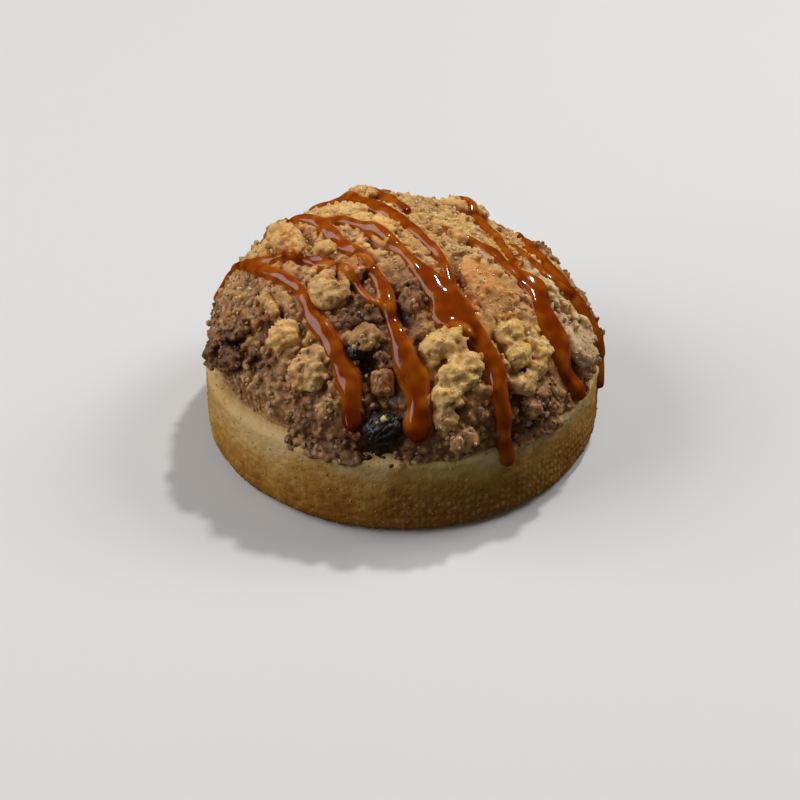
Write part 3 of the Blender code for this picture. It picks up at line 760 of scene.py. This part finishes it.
def stainBeside(piece, caramel):
    # crumble next to the caramel takes up some of it
    graph = bpy.context.evaluated_depsgraph_get()
    tree = BVHTree.FromObject(caramel, graph)
    points = readPoints(piece)
    near = np.zeros(len(points))
    for i, point in enumerate(points):
        hit = tree.find_nearest(Vector(point), 2.2 * mm)
        if hit[0] is not None:
            near[i] = math.exp(-((hit[3] / mm / 0.85) ** 2))
    stained = np.clip(readFloat(piece, "toast") + 0.75 * near, 0, 1).astype(np.float32)
    piece.data.attributes["toast"].data.foreach_set("value", stained)


def buildGrains(bed, butter, caramel):
    # loose grains of sugar and crumble that lie on the joined crumbs, but not on the caramel
    rng = np.random.default_rng(17)
    graph = bpy.context.evaluated_depsgraph_get()
    tree = BVHTree.FromObject(caramel, graph)
    shapes = [modelLump(f"grain{i}", 1, i + 41, 5, 0.05) for i in range(6)]
    places, tones = [], []
    kinds = ((bed, 0.50, crumbleLook["bitSize"]), (butter, 0.35, crumbleLook["grainSize"]))
    for piece, share, (low, high) in kinds:
        points, normals, tone = readPoints(piece), readNormals(piece), readFloat(piece, "tone")
        chosen = rng.permutation(np.nonzero((points[:, 2] > 0.0196) & (normals[:, 2] > -0.2))[0])
        for i in chosen[: int(crumbleLook["looseGrains"] * share)]:
            hit = tree.find_nearest(Vector(points[i]), 0.7 * mm)
            if hit[0] is not None:
                continue
            size = (low + (high - low) * rng.beta(1.2, 2.2)) * mm
            at = points[i] + normals[i] * size * 0.05
            places.append((rng.integers(6), at, randomTurn(rng), np.array((1, 0.85, 0.7)) * size))
            tones.append(tone[i] + rng.normal(0.05, 0.11))
    for azimuth, elevation, lift, size, tone in bitsOnFruit:
        line = direction(azimuth, elevation)[None]
        at = heapPoint(line)[0] + heapNormal(line)[0] * lift * mm
        places.append((rng.integers(6), at, randomTurn(rng), np.array((1, 0.85, 0.8)) * size * mm))
        tones.append(tone)
    grains = joinedCopies("looseGrains", shapes, places)
    each = [len(shapes[place[0]][0]) for place in places]
    addFloat(grains, "tone", np.repeat(tones, each))
    addFloat(grains, "toast", np.repeat(rng.uniform(0, 0.3, len(tones)), each))
    addFloat(grains, "grey", np.repeat(rng.uniform(0.1, 0.9, len(tones)), each))
    addFloat(grains, "cavityShade", np.full(sum(each), 0.15))
    print("loose grains:", len(places), "with", len(grains.data.polygons), "faces")
    return grains


caramelLook = {
    "depth": 1.35,
    "edgeSink": 0.45,
    "step": 0.6,
    "across": 15,  # points over a ribbon's width
    "smoothing": 2.0,  # how far the caramel bridges over crumbs
    "voxel": 0.34,
}

# the bends of each ribbon: azimuth, elevation, width in mm; below elevation 0 it lies on the shell's wall
caramelRibbons = {
    "leftStrand": (
        (-99, 9, 3.2), (-100, 20, 3.2), (-93, 31, 3.6), (-81, 38, 3.8), (-66, 44, 3.4), (-50, 45, 3.6),
        (-35, 39, 4.0), (-24, 33, 4.2), (-18, 26, 4.4), (-15, 20, 4.8), (-14, 8, 5.0),
    ),
    "leftLoop": (
        (-93, 31, 3.0), (-84, 41, 2.8), (-75, 50, 2.6), (-60, 57, 2.6), (-38, 60, 3.0), (-24, 58, 2.8),
        (-12, 51, 2.8), (0, 46, 3.0),
    ),
    "frontRibbon": (
        (-122, 10, 3.2), (-124, 26, 3.4), (-116, 40, 3.8), (-111, 53, 4.2), (-101, 64, 3.8), (-88, 68, 3.6),
        (-60, 70, 3.6), (-30, 70, 3.4), (-11, 63, 3.4), (-1, 54, 3.9), (2, 43, 4.6), (4, 33, 5.6),
        (6, 24, 7.0), (6, 15, 7.0), (4, 6, 6.4),
    ),
    "wideRibbon": (
        (-101, 64, 3.4), (-108, 72, 3.2), (-101, 79, 3.0), (-30, 84, 3.2), (21, 75, 3.4), (28, 65, 3.8),
        (30, 56, 6.2), (31, 47, 9.0), (31, 40, 9.6), (34, 31, 6.4), (34, 24, 4.4), (32, 16, 5.6),
        (31, 10, 6.2), (30, 3, 4.4), (30.5, -7, 4.4),
    ),
    "topRibbon": (
        (-140, 12, 3.0), (-146, 30, 3.2), (-156, 48, 3.4), (-170, 66, 4.4), (160, 75, 5.4), (120, 79, 4.0),
        (70, 73, 3.2), (55, 64, 3.0), (44, 55, 3.6), (36, 47, 3.8),
    ),
    "topShort": (
        (-168, 14, 3.0), (-171, 32, 3.2), (-177, 48, 3.4), (168, 58, 3.4), (160, 60, 2.8),
    ),
    "rightRibbon": (
        (135, 60, 2.6), (118, 57, 2.8), (103, 52, 3.2), (88, 45, 4.6), (79, 39, 5.0), (74, 32, 6.8),
        (67, 27, 6.5), (63, 20, 7.0), (60, 12, 6.2), (61, 5, 5.4), (63, -1, 5.0),
    ),
    "rightEdge": (
        (162, 12, 3.0), (157, 26, 3.0), (142, 33, 3.2), (126, 36, 3.2), (111, 38, 3.2), (95, 39, 3.2),
        (82, 38, 3.0),
    ),
    "farRibbon": (
        (140, 10, 3.0), (130, 20, 3.2), (117, 24, 4.0), (105, 24, 4.0), (94, 22, 4.4), (88, 17, 5.4),
        (84, 10, 4.6), (84, 1, 4.2), (80, -9, 4.0),
    ),
    "farShort": (
        (116, 33, 2.6), (105, 32, 2.8), (97, 30, 3.4), (90, 25, 3.2), (87, 19, 3.0),
    ),
}


def smoothRows(values, step):
    # a smooth curve through rows, at steps measured over the first three columns
    ends = [values[0] * 2 - values[1], *values, values[-1] * 2 - values[-2]]
    rows = []
    for a, b, c, d in zip(ends, ends[1:], ends[2:], ends[3:]):
        pieces = max(1, round(np.linalg.norm((c - b)[:3]) / step))
        for t in np.arange(pieces) / pieces:
            bent = (2 * a - 5 * b + 4 * c - d) * t * t + (3 * b - a - 3 * c + d) * t ** 3
            rows.append(0.5 * (2 * b + (c - a) * t + bent))
    return np.array([*rows, values[-1]])


def blur(grid, spread, axis):
    # a soft average along one axis, spread in grid steps
    reach = int(spread * 2.5) + 1
    kernel = np.exp(-((np.arange(-reach, reach + 1) / spread) ** 2) / 2)
    kernel /= kernel.sum()
    padded = np.pad(grid, [(reach, reach) if i == axis else (0, 0) for i in range(grid.ndim)], mode="edge")
    return np.apply_along_axis(lambda row: np.convolve(row, kernel, mode="valid"), axis, padded)


def layRibbon(bends, grounds, rng):
    # one ribbon laid on what is under it, as the points and faces of a closed strip
    look = caramelLook
    knots = [np.array([*direction(azimuth, elevation), width]) for azimuth, elevation, width in bends]
    rows = smoothRows(knots, look["step"] / tartShape["shellRadius"])
    lines = unit(rows[:, :3])
    centres = heapPoint(lines)
    normals = heapNormal(lines)
    for _ in range(2):
        normals = unit(blur(normals, 3, 0))
    along = unit(np.gradient(centres, axis=0))
    across = unit(np.cross(normals, along))
    run = np.concatenate([[0], np.cumsum(np.linalg.norm(np.diff(centres, axis=0), axis=1))]) / mm
    wobble = blur(rng.normal(size=len(rows)), 4, 0)
    halves = rows[:, 3] / 2 * (1 + 0.5 * wobble)
    toEnd = np.minimum(run, run[-1] - run)
    halves = halves * np.sqrt(1 - (1 - np.clip(toEnd / halves, 0.03, 1)) ** 2)

    offsets = np.linspace(-1, 1, look["across"])
    feet = centres[:, None] + across[:, None] * (halves[:, None] * offsets)[:, :, None] * mm
    heights = np.zeros(feet.shape[:2])
    for i in range(feet.shape[0]):
        for j in range(feet.shape[1]):
            start = Vector(feet[i, j] + normals[i] * 7 * mm)
            best = -2.5
            for ground in grounds:
                hit = ground.ray_cast(start, Vector(-normals[i]), 12 * mm)
                if hit[0] is not None:
                    best = max(best, 7 - hit[3] / mm)
            heights[i, j] = best
    level = blur(blur(heights, look["smoothing"] / look["step"], 0), 2.0, 1)
    high = blur(blur(np.maximum(heights, level), 1.6, 0), 1.2, 1)
    level = level * 0.45 + high * 0.55
    drip = 1 + 0.35 * np.exp(-(((run[-1] - run) / 3.5) ** 2))
    fuller = 0.55 + 0.45 * np.clip(rows[:, 3] / 5, 0, 1.25)  # wide ribbons are thicker too
    thick = look["depth"] * drip * fuller * (1 + 0.25 * blur(rng.normal(size=len(rows)), 6, 0))
    thick = thick * np.clip(halves / 1.2, 0.3, 1)
    bead = np.sqrt(np.clip(1 - np.abs(offsets) ** 2.4, 0, 1))
    top = level + thick[:, None] * bead[None] - look["edgeSink"] * (1 - bead[None])
    bottom = level - 0.9 - 0.5 * bead[None]

    upper = feet + normals[:, None] * top[:, :, None] * mm
    lower = feet + normals[:, None] * bottom[:, :, None] * mm
    count, wide = heights.shape
    points = np.concatenate([upper.reshape(-1, 3), lower.reshape(-1, 3)])
    under = count * wide
    faces = []
    for i in range(count - 1):
        for j in range(wide - 1):
            a, b = i * wide + j, (i + 1) * wide + j
            faces.append((a, a + 1, b + 1, b))
            faces.append((under + a, under + b, under + b + 1, under + a + 1))
    edge = [i * wide for i in range(count)] + [(count - 1) * wide + j for j in range(1, wide)]
    edge += [i * wide + wide - 1 for i in range(count - 2, -1, -1)] + [j for j in range(wide - 2, 0, -1)]
    for a, b in zip(edge, edge[1:] + edge[:1]):
        faces.append((a, b, under + b, under + a))
    return points, faces


def evenOut(piece, values, times=1):
    # each point takes the mean of itself and its neighbours
    edges = np.empty(len(piece.data.edges) * 2, np.int64)
    piece.data.edges.foreach_get("vertices", edges)
    first, second = edges.reshape(-1, 2).T
    size = len(values)
    count = 1 + np.bincount(first, minlength=size) + np.bincount(second, minlength=size)
    for _ in range(times):
        total = np.bincount(first, values[second], size) + np.bincount(second, values[first], size)
        values = (values + total) / count
    return values


def buildCaramel(shell, bed, butter):
    rng = np.random.default_rng(4)
    graph = bpy.context.evaluated_depsgraph_get()
    grounds = [BVHTree.FromObject(piece, graph) for piece in (shell, bed, butter)]
    allPoints, allFaces, start = [], [], 0
    for bends in caramelRibbons.values():
        points, faces = layRibbon(bends, grounds, rng)
        allPoints.append(points)
        allFaces += [tuple(i + start for i in face) for face in faces]
        start += len(points)
    caramel = meshPiece("caramel", np.concatenate(allPoints), allFaces)
    makeActive(caramel)
    bpy.ops.object.mode_set(mode="EDIT")
    bpy.ops.mesh.select_all(action="SELECT")
    bpy.ops.mesh.normals_make_consistent(inside=False)
    bpy.ops.object.mode_set(mode="OBJECT")
    fuse(caramel, caramelLook["voxel"])
    relax(caramel, 0.6, 12)
    points, normals = readPoints(caramel), readNormals(caramel)
    thickness = np.zeros(len(points))
    for i, point in enumerate(points):
        depths = []
        start = Vector(point)
        for ground in grounds:
            hit = ground.ray_cast(start, Vector(-normals[i]), 5 * mm)
            if hit[0] is not None:
                depths.append(hit[3] / mm)
        thickness[i] = min(depths) if depths else 0.6
    addFloat(caramel, "thickness", evenOut(caramel, thickness, 10))
    print("caramel has", len(caramel.data.polygons), "faces")
    return caramel


def seat(azimuth, elevation, turn):
    # axes and middle of a piece of fruit that is pressed into the heap
    line = direction(azimuth, elevation)[None]
    axes = heapAxes(line, turn)[0]
    return axes, heapPoint(line)[0] - axes[2] * fruitSink * mm


def buildRaisin(number):
    azimuth, elevation, length, width, height, turn = raisinPlaces[number]
    deselectAll()
    bpy.ops.mesh.primitive_ico_sphere_add(subdivisions=6, radius=0.5)
    raisin = bpy.context.object
    raisin.name = f"raisin{number + 1}"
    axes, centre = seat(azimuth, elevation, turn)
    points = readPoints(raisin)
    u = points / 0.5
    wrinkle = np.zeros(len(points))
    rng = np.random.default_rng(number + 3)
    for _ in range(15):  # each fold is a crease along a random great circle
        pole = unit(rng.normal(size=3))
        bend = 0.25 * np.sin(3 * (u @ unit(rng.normal(size=3))) + rng.uniform(0, 6))
        wrinkle -= 0.042 * np.exp(-(((u @ pole + rng.uniform(-0.7, 0.7) + bend) / 0.09) ** 2))
    points = points * (1 + wrinkle)[:, None]
    points = (points * (length * mm, width * mm, height * mm)) @ axes + centre
    writePoints(raisin, points)
    roughen(raisin, "raisinSkin", 0.0011, 0.10)
    shadeSmooth(raisin)
    return raisin


def buildApple(number):
    azimuth, elevation, length, width, height, turn = applePlaces[number]
    deselectAll()
    bpy.ops.mesh.primitive_cube_add(size=1)
    cube = bpy.context.object
    cube.name = f"appleCube{number + 1}"
    axes, centre = seat(azimuth, elevation, turn)
    writePoints(cube, (readPoints(cube) * (length * mm, width * mm, height * mm)) @ axes + centre)
    bevel = cube.modifiers.new("softCorners", "BEVEL")
    bevel.width = 1.3 * mm
    bevel.segments = 5
    divide = cube.modifiers.new("divide", "SUBSURF")
    divide.levels = divide.render_levels = 3
    applyModifiers(cube)
    roughen(cube, "appleFlesh", 0.0026, 0.55)
    roughen(cube, "appleFibre", 0.0009, 0.14)
    shadeSmooth(cube)
    return cube


def newMaterial(name):
    material = bpy.data.materials.new(name)
    material.use_nodes = True
    graph = material.node_tree
    return material, graph, graph.nodes["Principled BSDF"]


def noiseNode(graph, vector, scale, detail=3.0, roughness=0.55):
    node = graph.nodes.new("ShaderNodeTexNoise")
    node.inputs["Scale"].default_value = scale
    node.inputs["Detail"].default_value = detail
    node.inputs["Roughness"].default_value = roughness
    graph.links.new(vector, node.inputs["Vector"])
    return node.outputs["Fac"]


def rampNode(graph, value, stops):
    node = graph.nodes.new("ShaderNodeValToRGB")
    ramp = node.color_ramp
    while len(ramp.elements) < len(stops):
        ramp.elements.new(0.5)
    for element, (position, colour) in zip(ramp.elements, stops):
        element.position = position
        element.color = (colour, colour, colour, 1) if isinstance(colour, (int, float)) else (*colour, 1)
    graph.links.new(value, node.inputs["Fac"])
    return node.outputs["Color"]


def mixNode(graph, kind, factor, first, second):
    node = graph.nodes.new("ShaderNodeMix")
    node.data_type = "RGBA"
    node.blend_type = kind
    for name, value in (("Factor", factor), ("A", first), ("B", second)):
        socket = node.inputs[name]
        if isinstance(value, bpy.types.NodeSocket):
            graph.links.new(value, socket)
        elif isinstance(value, (int, float)):
            socket.default_value = value
        else:
            socket.default_value = (*value, 1)
    return node.outputs["Result"]


def mathNode(graph, kind, first, second=0.0, third=None):
    node = graph.nodes.new("ShaderNodeMath")
    node.operation = kind
    for socket, value in zip(node.inputs, (first, second, third)):
        if isinstance(value, bpy.types.NodeSocket):
            graph.links.new(value, socket)
        elif value is not None:
            socket.default_value = value
    return node.outputs[0]


def bumpNode(graph, height, strength, distance, normal=None):
    node = graph.nodes.new("ShaderNodeBump")
    node.inputs["Strength"].default_value = strength
    node.inputs["Distance"].default_value = distance
    graph.links.new(height, node.inputs["Height"])
    if normal is not None:
        graph.links.new(normal, node.inputs["Normal"])
    return node.outputs["Normal"]


def objectCoords(graph):
    return graph.nodes.new("ShaderNodeTexCoord").outputs["Object"]


def cellNode(graph, vector, scale, randomness=1.0):
    # cells like grains: the distance from each grain's middle, and a random value for each
    node = graph.nodes.new("ShaderNodeTexVoronoi")
    node.inputs["Scale"].default_value = scale
    node.inputs["Randomness"].default_value = randomness
    graph.links.new(vector, node.inputs["Vector"])
    split = graph.nodes.new("ShaderNodeSeparateColor")
    graph.links.new(node.outputs["Color"], split.inputs[0])
    return node.outputs["Distance"], split.outputs[0], split.outputs[1]


def attributeNode(graph, name):
    node = graph.nodes.new("ShaderNodeAttribute")
    node.attribute_name = name
    return node.outputs["Fac"]


def centred(graph, value, amount):
    # a value between 0 and 1 turned into plus or minus half the amount
    return mathNode(graph, "MULTIPLY", mathNode(graph, "SUBTRACT", value, 0.5), amount)


def addUp(graph, *values):
    total = values[0]
    for value in values[1:]:
        total = mathNode(graph, "ADD", total, value)
    return total


# from the deepest bake, and the painted shade on the front, to the palest pastry
crustColours = (
    (0.00, (0.285, 0.108, 0.010)), (0.30, (0.398, 0.184, 0.027)), (0.58, (0.520, 0.288, 0.070)),
    (0.82, (0.600, 0.392, 0.148)), (1.00, (0.635, 0.445, 0.203)),
)


def shortcrustMaterial():
    material, graph, shader = newMaterial("shortcrustBaked")
    place = objectCoords(graph)
    split = graph.nodes.new("ShaderNodeSeparateXYZ")
    graph.links.new(place, split.inputs[0])
    height = mathNode(graph, "DIVIDE", split.outputs["Z"], 0.0205)
    wide = centred(graph, noiseNode(graph, place, 95, 3), 1.0)
    patchy = centred(graph, noiseNode(graph, place, 330, 4, 0.6), 0.62)
    pebble, pebbleRandom, _ = cellNode(graph, place, 640)
    patchy = mathNode(graph, "ADD", patchy, centred(graph, pebbleRandom, 0.16))
    # painted shade on the front of the wall darkens the colour
    frontShade = mathNode(graph, "MULTIPLY", attributeNode(graph, "frontShade"), -1.0)
    colour = rampNode(graph, addUp(graph, height, wide, patchy, frontShade), crustColours)
    # the rows of small bumps that the ring's mesh leaves, on the lower part of the wall
    wall = graph.nodes.new("ShaderNodeUVMap")
    wall.uv_map = "wallMap"
    stretch = graph.nodes.new("ShaderNodeVectorMath")
    stretch.operation = "MULTIPLY"
    stretch.inputs[1].default_value = (1 / 1.42, 1 / 1.95, 1)
    graph.links.new(wall.outputs["UV"], stretch.inputs[0])
    row, rowRandom, _ = cellNode(graph, stretch.outputs["Vector"], 1.0, 0.35)
    shown = mathNode(graph, "MULTIPLY", rampNode(graph, height, ((0.45, 1.0), (0.72, 0.0))),
                     rampNode(graph, noiseNode(graph, place, 70, 2), ((0.36, 0.25), (0.56, 1.0))))
    bump = rampNode(graph, row, ((0.10, 1.0), (0.50, 0.0)))
    side = mathNode(graph, "MULTIPLY_ADD", split.outputs["X"], 16.0, 0.5)  # they fade to the left
    shown = mathNode(graph, "MULTIPLY", shown, rampNode(graph, side, ((0.30, 0.12), (0.66, 1.0))))
    bump = mathNode(graph, "MULTIPLY", bump, shown)
    pale = mathNode(graph, "MULTIPLY", bump, mathNode(graph, "MULTIPLY", rowRandom, 0.55))
    colour = mixNode(graph, "MIX", pale, colour, (0.62, 0.44, 0.20))
    # pores, darkened in the colour as painted shade, and flour specks
    speck, speckRandom, speckOther = cellNode(graph, place, 1300)
    pore = mathNode(graph, "MULTIPLY", rampNode(graph, speck, ((0.0, 1.0), (0.42, 0.0))),
                    rampNode(graph, speckRandom, ((0.68, 0.0), (0.90, 1.0))))
    poreShade = mathNode(graph, "MULTIPLY", pore, 0.62)
    # painted shade in the pores
    colour = mixNode(graph, "MULTIPLY", poreShade, colour, (0.50, 0.33, 0.18))
    flour = mathNode(graph, "MULTIPLY", rampNode(graph, speck, ((0.0, 1.0), (0.36, 0.0))),
                     rampNode(graph, speckOther, ((0.78, 0.0), (0.92, 1.0))))
    flourShare = mathNode(graph, "MULTIPLY", flour, 0.5)
    colour = mixNode(graph, "MIX", flourShare, colour, (0.72, 0.58, 0.36))
    graph.links.new(colour, shader.inputs["Base Color"])
    fine = noiseNode(graph, place, 1000, 4, 0.65)
    normal = bumpNode(graph, fine, 0.60, 0.00040)
    low = rampNode(graph, height, ((0.55, 1.0), (0.95, 0.25)))
    pebbled = mathNode(graph, "MULTIPLY", mathNode(graph, "SUBTRACT", 1.0, pebble), low)
    normal = bumpNode(graph, pebbled, 0.38, 0.00050, normal)
    normal = bumpNode(graph, bump, 0.8, 0.00030, normal)
    normal = bumpNode(graph, mathNode(graph, "SUBTRACT", 1.0, pore), 0.6, 0.00025, normal)
    graph.links.new(normal, shader.inputs["Normal"])
    graph.links.new(rampNode(graph, speckOther, ((0.2, 0.55), (0.8, 0.8))), shader.inputs["Roughness"])
    shader.inputs["Specular IOR Level"].default_value = 0.25
    shader.inputs["Subsurface Weight"].default_value = 0.08
    shader.inputs["Subsurface Radius"].default_value = (1.0, 0.5, 0.2)
    shader.inputs["Subsurface Scale"].default_value = 0.0012
    return material


# by tone, from brown to pale yellow
crumbleColours = (
    (0.00, (0.064, 0.024, 0.008)), (0.22, (0.172, 0.073, 0.025)), (0.48, (0.380, 0.194, 0.068)),
    (0.74, (0.595, 0.354, 0.122)), (1.00, (0.785, 0.516, 0.170)),
)


def crumbleMaterial(name, sheen):
    material, graph, shader = newMaterial(name)
    place = objectCoords(graph)
    cell, cellRandom, cellOther = cellNode(graph, place, 1150)
    fine = noiseNode(graph, place, 1500, 3, 0.6)
    clouds = noiseNode(graph, place, 340, 3)
    tone = addUp(graph, attributeNode(graph, "tone"), centred(graph, clouds, 0.30),
                 centred(graph, fine, 0.16), centred(graph, cellRandom, 0.16))
    colour = rampNode(graph, tone, crumbleColours)
    grey = mixNode(graph, "MULTIPLY", 1.0, colour, (0.92, 1.12, 2.10))
    colour = mixNode(graph, "MIX", attributeNode(graph, "grey"), colour, grey)
    spots = rampNode(graph, noiseNode(graph, place, 600, 3), ((0.30, 0.45), (0.62, 1.0)))
    toast = mathNode(graph, "MULTIPLY", attributeNode(graph, "toast"), spots)
    colour = mixNode(graph, "MULTIPLY", toast, colour, (0.95, 0.50, 0.20))
    # painted shade: the colour darkens where the surface lies below its neighbours, in the crevices
    raised = mathNode(graph, "MULTIPLY_ADD", attributeNode(graph, "cavityShade"), 0.9, 0.55)
    crevice = rampNode(graph, raised, (
        (0.0, (0.50, 0.38, 0.32)), (0.38, (0.88, 0.82, 0.78)), (0.70, (1.0, 1.0, 1.0)),
    ))
    colour = mixNode(graph, "MULTIPLY", 1.0, colour, crevice)
    graph.links.new(colour, shader.inputs["Base Color"])
    normal = bumpNode(graph, mathNode(graph, "SUBTRACT", 1.0, cell), 0.30, 0.00030)
    normal = bumpNode(graph, noiseNode(graph, place, 720, 4, 0.6), 0.30, 0.0004, normal)
    normal = bumpNode(graph, fine, 0.45, 0.0003, normal)
    graph.links.new(normal, shader.inputs["Normal"])
    glints = ((0.12 + sheen, 0.14), (0.26 + sheen, 0.56))  # a few moist grains shine
    graph.links.new(rampNode(graph, cellOther, glints), shader.inputs["Roughness"])
    shader.inputs["Specular IOR Level"].default_value = 0.42
    shader.inputs["Subsurface Weight"].default_value = 0.60
    shader.inputs["Subsurface Radius"].default_value = (1.0, 0.65, 0.38)
    shader.inputs["Subsurface Scale"].default_value = 0.0016
    return material


# from thin to thick
caramelColours = (
    (0.00, (0.500, 0.185, 0.016)), (0.30, (0.370, 0.090, 0.005)),
    (0.60, (0.235, 0.038, 0.002)), (1.00, (0.110, 0.013, 0.001)),
)


def caramelMaterial():
    material, graph, shader = newMaterial("caramelGlossy")
    place = objectCoords(graph)
    cloud = centred(graph, noiseNode(graph, place, 110, 1), 0.22)
    thickness = mathNode(graph, "MULTIPLY", attributeNode(graph, "thickness"), 0.44)
    depth = addUp(graph, thickness, cloud)
    colour = rampNode(graph, depth, caramelColours)
    graph.links.new(colour, shader.inputs["Base Color"])
    shader.inputs["Roughness"].default_value = 0.09
    shader.inputs["IOR"].default_value = 1.48
    shader.inputs["Subsurface Weight"].default_value = 0.22
    shader.inputs["Subsurface Radius"].default_value = (1.0, 0.30, 0.05)
    shader.inputs["Subsurface Scale"].default_value = 0.0016
    ripple = noiseNode(graph, place, 260, 2)
    graph.links.new(bumpNode(graph, ripple, 0.10, 0.0004), shader.inputs["Normal"])
    return material


raisinColours = ((0.3, (0.010, 0.008, 0.009)), (0.6, (0.024, 0.016, 0.014)), (0.8, (0.075, 0.034, 0.016)))
appleColours = ((0.32, (0.16, 0.050, 0.012)), (0.50, (0.34, 0.135, 0.034)), (0.72, (0.52, 0.28, 0.095)))


def raisinMaterial():
    material, graph, shader = newMaterial("raisinSkin")
    place = objectCoords(graph)
    cloud = noiseNode(graph, place, 500, 3)
    graph.links.new(rampNode(graph, cloud, raisinColours), shader.inputs["Base Color"])
    graph.links.new(rampNode(graph, cloud, ((0.3, 0.30), (0.7, 0.52))), shader.inputs["Roughness"])
    folds = bumpNode(graph, noiseNode(graph, place, 420, 3, 0.6), 0.8, 0.0007)
    skin = noiseNode(graph, place, 1200, 3)
    graph.links.new(bumpNode(graph, skin, 0.5, 0.0003, folds), shader.inputs["Normal"])
    return material


def appleMaterial():
    material, graph, shader = newMaterial("appleGlazed")
    place = objectCoords(graph)
    cloud = noiseNode(graph, place, 420, 3)
    graph.links.new(rampNode(graph, cloud, appleColours), shader.inputs["Base Color"])
    shader.inputs["Roughness"].default_value = 0.28
    shader.inputs["Subsurface Weight"].default_value = 0.25
    shader.inputs["Subsurface Radius"].default_value = (1.0, 0.45, 0.15)
    shader.inputs["Subsurface Scale"].default_value = 0.0014
    fibres = noiseNode(graph, place, 900, 3)
    graph.links.new(bumpNode(graph, fibres, 0.6, 0.0004), shader.inputs["Normal"])
    return material


stageLook = {
    "floorColour": (0.660, 0.663, 0.668),
    "worldStrength": 0.125,
    "keyPower": 4.4,
    "keySize": 0.08,
    "keyPlace": (0.27, 0.36, 0.93),
    "keyAim": (0, 0, 0.02),
    "panelPower": 10.0,
    "panelAzimuth": -83,
    "panelElevation": 36,
    "panelDistance": 1.15,
    "panelSize": (1.15, 0.90),
    "fillPower": 5.2,
    "fillAzimuth": 112,
    "fillElevation": 46,
    "fillSize": (0.5, 0.5),
    "aim": (0, 0, 0.03),
}

cameraLook = {
    "lens": 100,
    "elevation": 36.0,
    "distance": 0.520,
    "target": (-0.0006, 0.0, 0.0040),
}


def buildStage():
    deselectAll()
    bpy.ops.mesh.primitive_plane_add(size=6)
    floor = bpy.context.object
    floor.name = "floor"
    material, graph, shader = newMaterial("floorPale")
    cloud = noiseNode(graph, objectCoords(graph), 3, 2)
    base = stageLook["floorColour"]
    dimmer = tuple(c * 0.985 for c in base)
    graph.links.new(rampNode(graph, cloud, ((0.3, dimmer), (0.7, base))), shader.inputs["Base Color"])
    shader.inputs["Roughness"].default_value = 0.7
    floor.data.materials.append(material)
    floor.visible_diffuse = False  # it throws no light back up at the tart
    floor.visible_glossy = False


def areaLight(name, place, aim, size, power, colour=(1, 1, 1), height=None):
    light = bpy.data.lights.new(name, "AREA")
    light.shape = "RECTANGLE" if height else "DISK"
    light.size = size
    if height:
        light.size_y = height
    light.energy = power
    light.color = colour
    lamp = bpy.data.objects.new(name, light)
    lamp.location = place
    lamp.rotation_mode = "QUATERNION"
    lamp.rotation_quaternion = (Vector(aim) - Vector(place)).to_track_quat("-Z", "Y")
    bpy.context.scene.collection.objects.link(lamp)
    return lamp


def buildLight():
    look = stageLook
    world = bpy.data.worlds.new("studioAir")
    bpy.context.scene.world = world
    world.use_nodes = True
    background = world.node_tree.nodes["Background"]
    background.inputs["Color"].default_value = (1.0, 0.99, 0.97, 1)
    background.inputs["Strength"].default_value = look["worldStrength"]
    world.cycles_visibility.glossy = False  # only the key and the panel show as highlights
    warm = (1.0, 0.985, 0.95)
    areaLight("keyLight", look["keyPlace"], look["keyAim"], look["keySize"], look["keyPower"], warm)
    lamps = {}
    sides = (("leftPanel", "panel", (1.0, 0.985, 0.975)), ("rightFill", "fill", (1.0, 0.99, 0.99)))
    for name, which, colour in sides:
        line = direction(look[which + "Azimuth"], look[which + "Elevation"])
        width, height = look[which + "Size"]
        place = Vector(line.tolist()) * look["panelDistance"]
        lamps[name] = areaLight(name, place, look["aim"], width, look[which + "Power"], colour, height)
    lamps["rightFill"].visible_glossy = False


def buildCamera():
    camera = bpy.data.cameras.new("photoCamera")
    camera.lens = cameraLook["lens"]
    camera.sensor_width = 36
    camera.clip_start = 0.01
    holder = bpy.data.objects.new("photoCamera", camera)
    tilt = math.radians(cameraLook["elevation"])
    back = Vector((0, -math.cos(tilt), math.sin(tilt)))
    holder.location = Vector(cameraLook["target"]) + back * cameraLook["distance"]
    holder.rotation_mode = "QUATERNION"
    holder.rotation_quaternion = back.to_track_quat("Z", "Y")
    bpy.context.scene.collection.objects.link(holder)
    bpy.context.scene.camera = holder


def dress(piece, material, node):
    piece.data.materials.clear()
    piece.data.materials.append(material)
    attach(piece, "root")
    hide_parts(node)


buildCamera()
buildLight()
buildStage()
print("camera, light and floor done")

shell = buildShell()
crustGrains = buildCrustGrains(shell)
crustFinish = shortcrustMaterial()
dress(shell, crustFinish, "shell")
dress(crustGrains, crustFinish, "shell")
print("shell done")

bed, butter = buildCrumble()
print("crumble done")

caramel = buildCaramel(shell, bed, butter)
dress(caramel, caramelMaterial(), "crumble")
stainBeside(bed, caramel)
stainBeside(butter, caramel)
grains = buildGrains(bed, butter, caramel)
brownFinish, butterFinish = crumbleMaterial("crumbleBrown", 0.06), crumbleMaterial("crumbleButter", 0.0)
dress(bed, brownFinish, "crumble")
dress(butter, butterFinish, "crumble")
dress(grains, butterFinish, "crumble")
print("caramel and loose grains done")

raisinFinish, appleFinish = raisinMaterial(), appleMaterial()
for number in range(len(raisinPlaces)):
    dress(buildRaisin(number), raisinFinish, f"raisin_{number + 1}")
for number in range(len(applePlaces)):
    dress(buildApple(number), appleFinish, f"apple_cube_{number + 1}")
print("fruit done")

bpy.context.scene.view_settings.view_transform = "Standard"
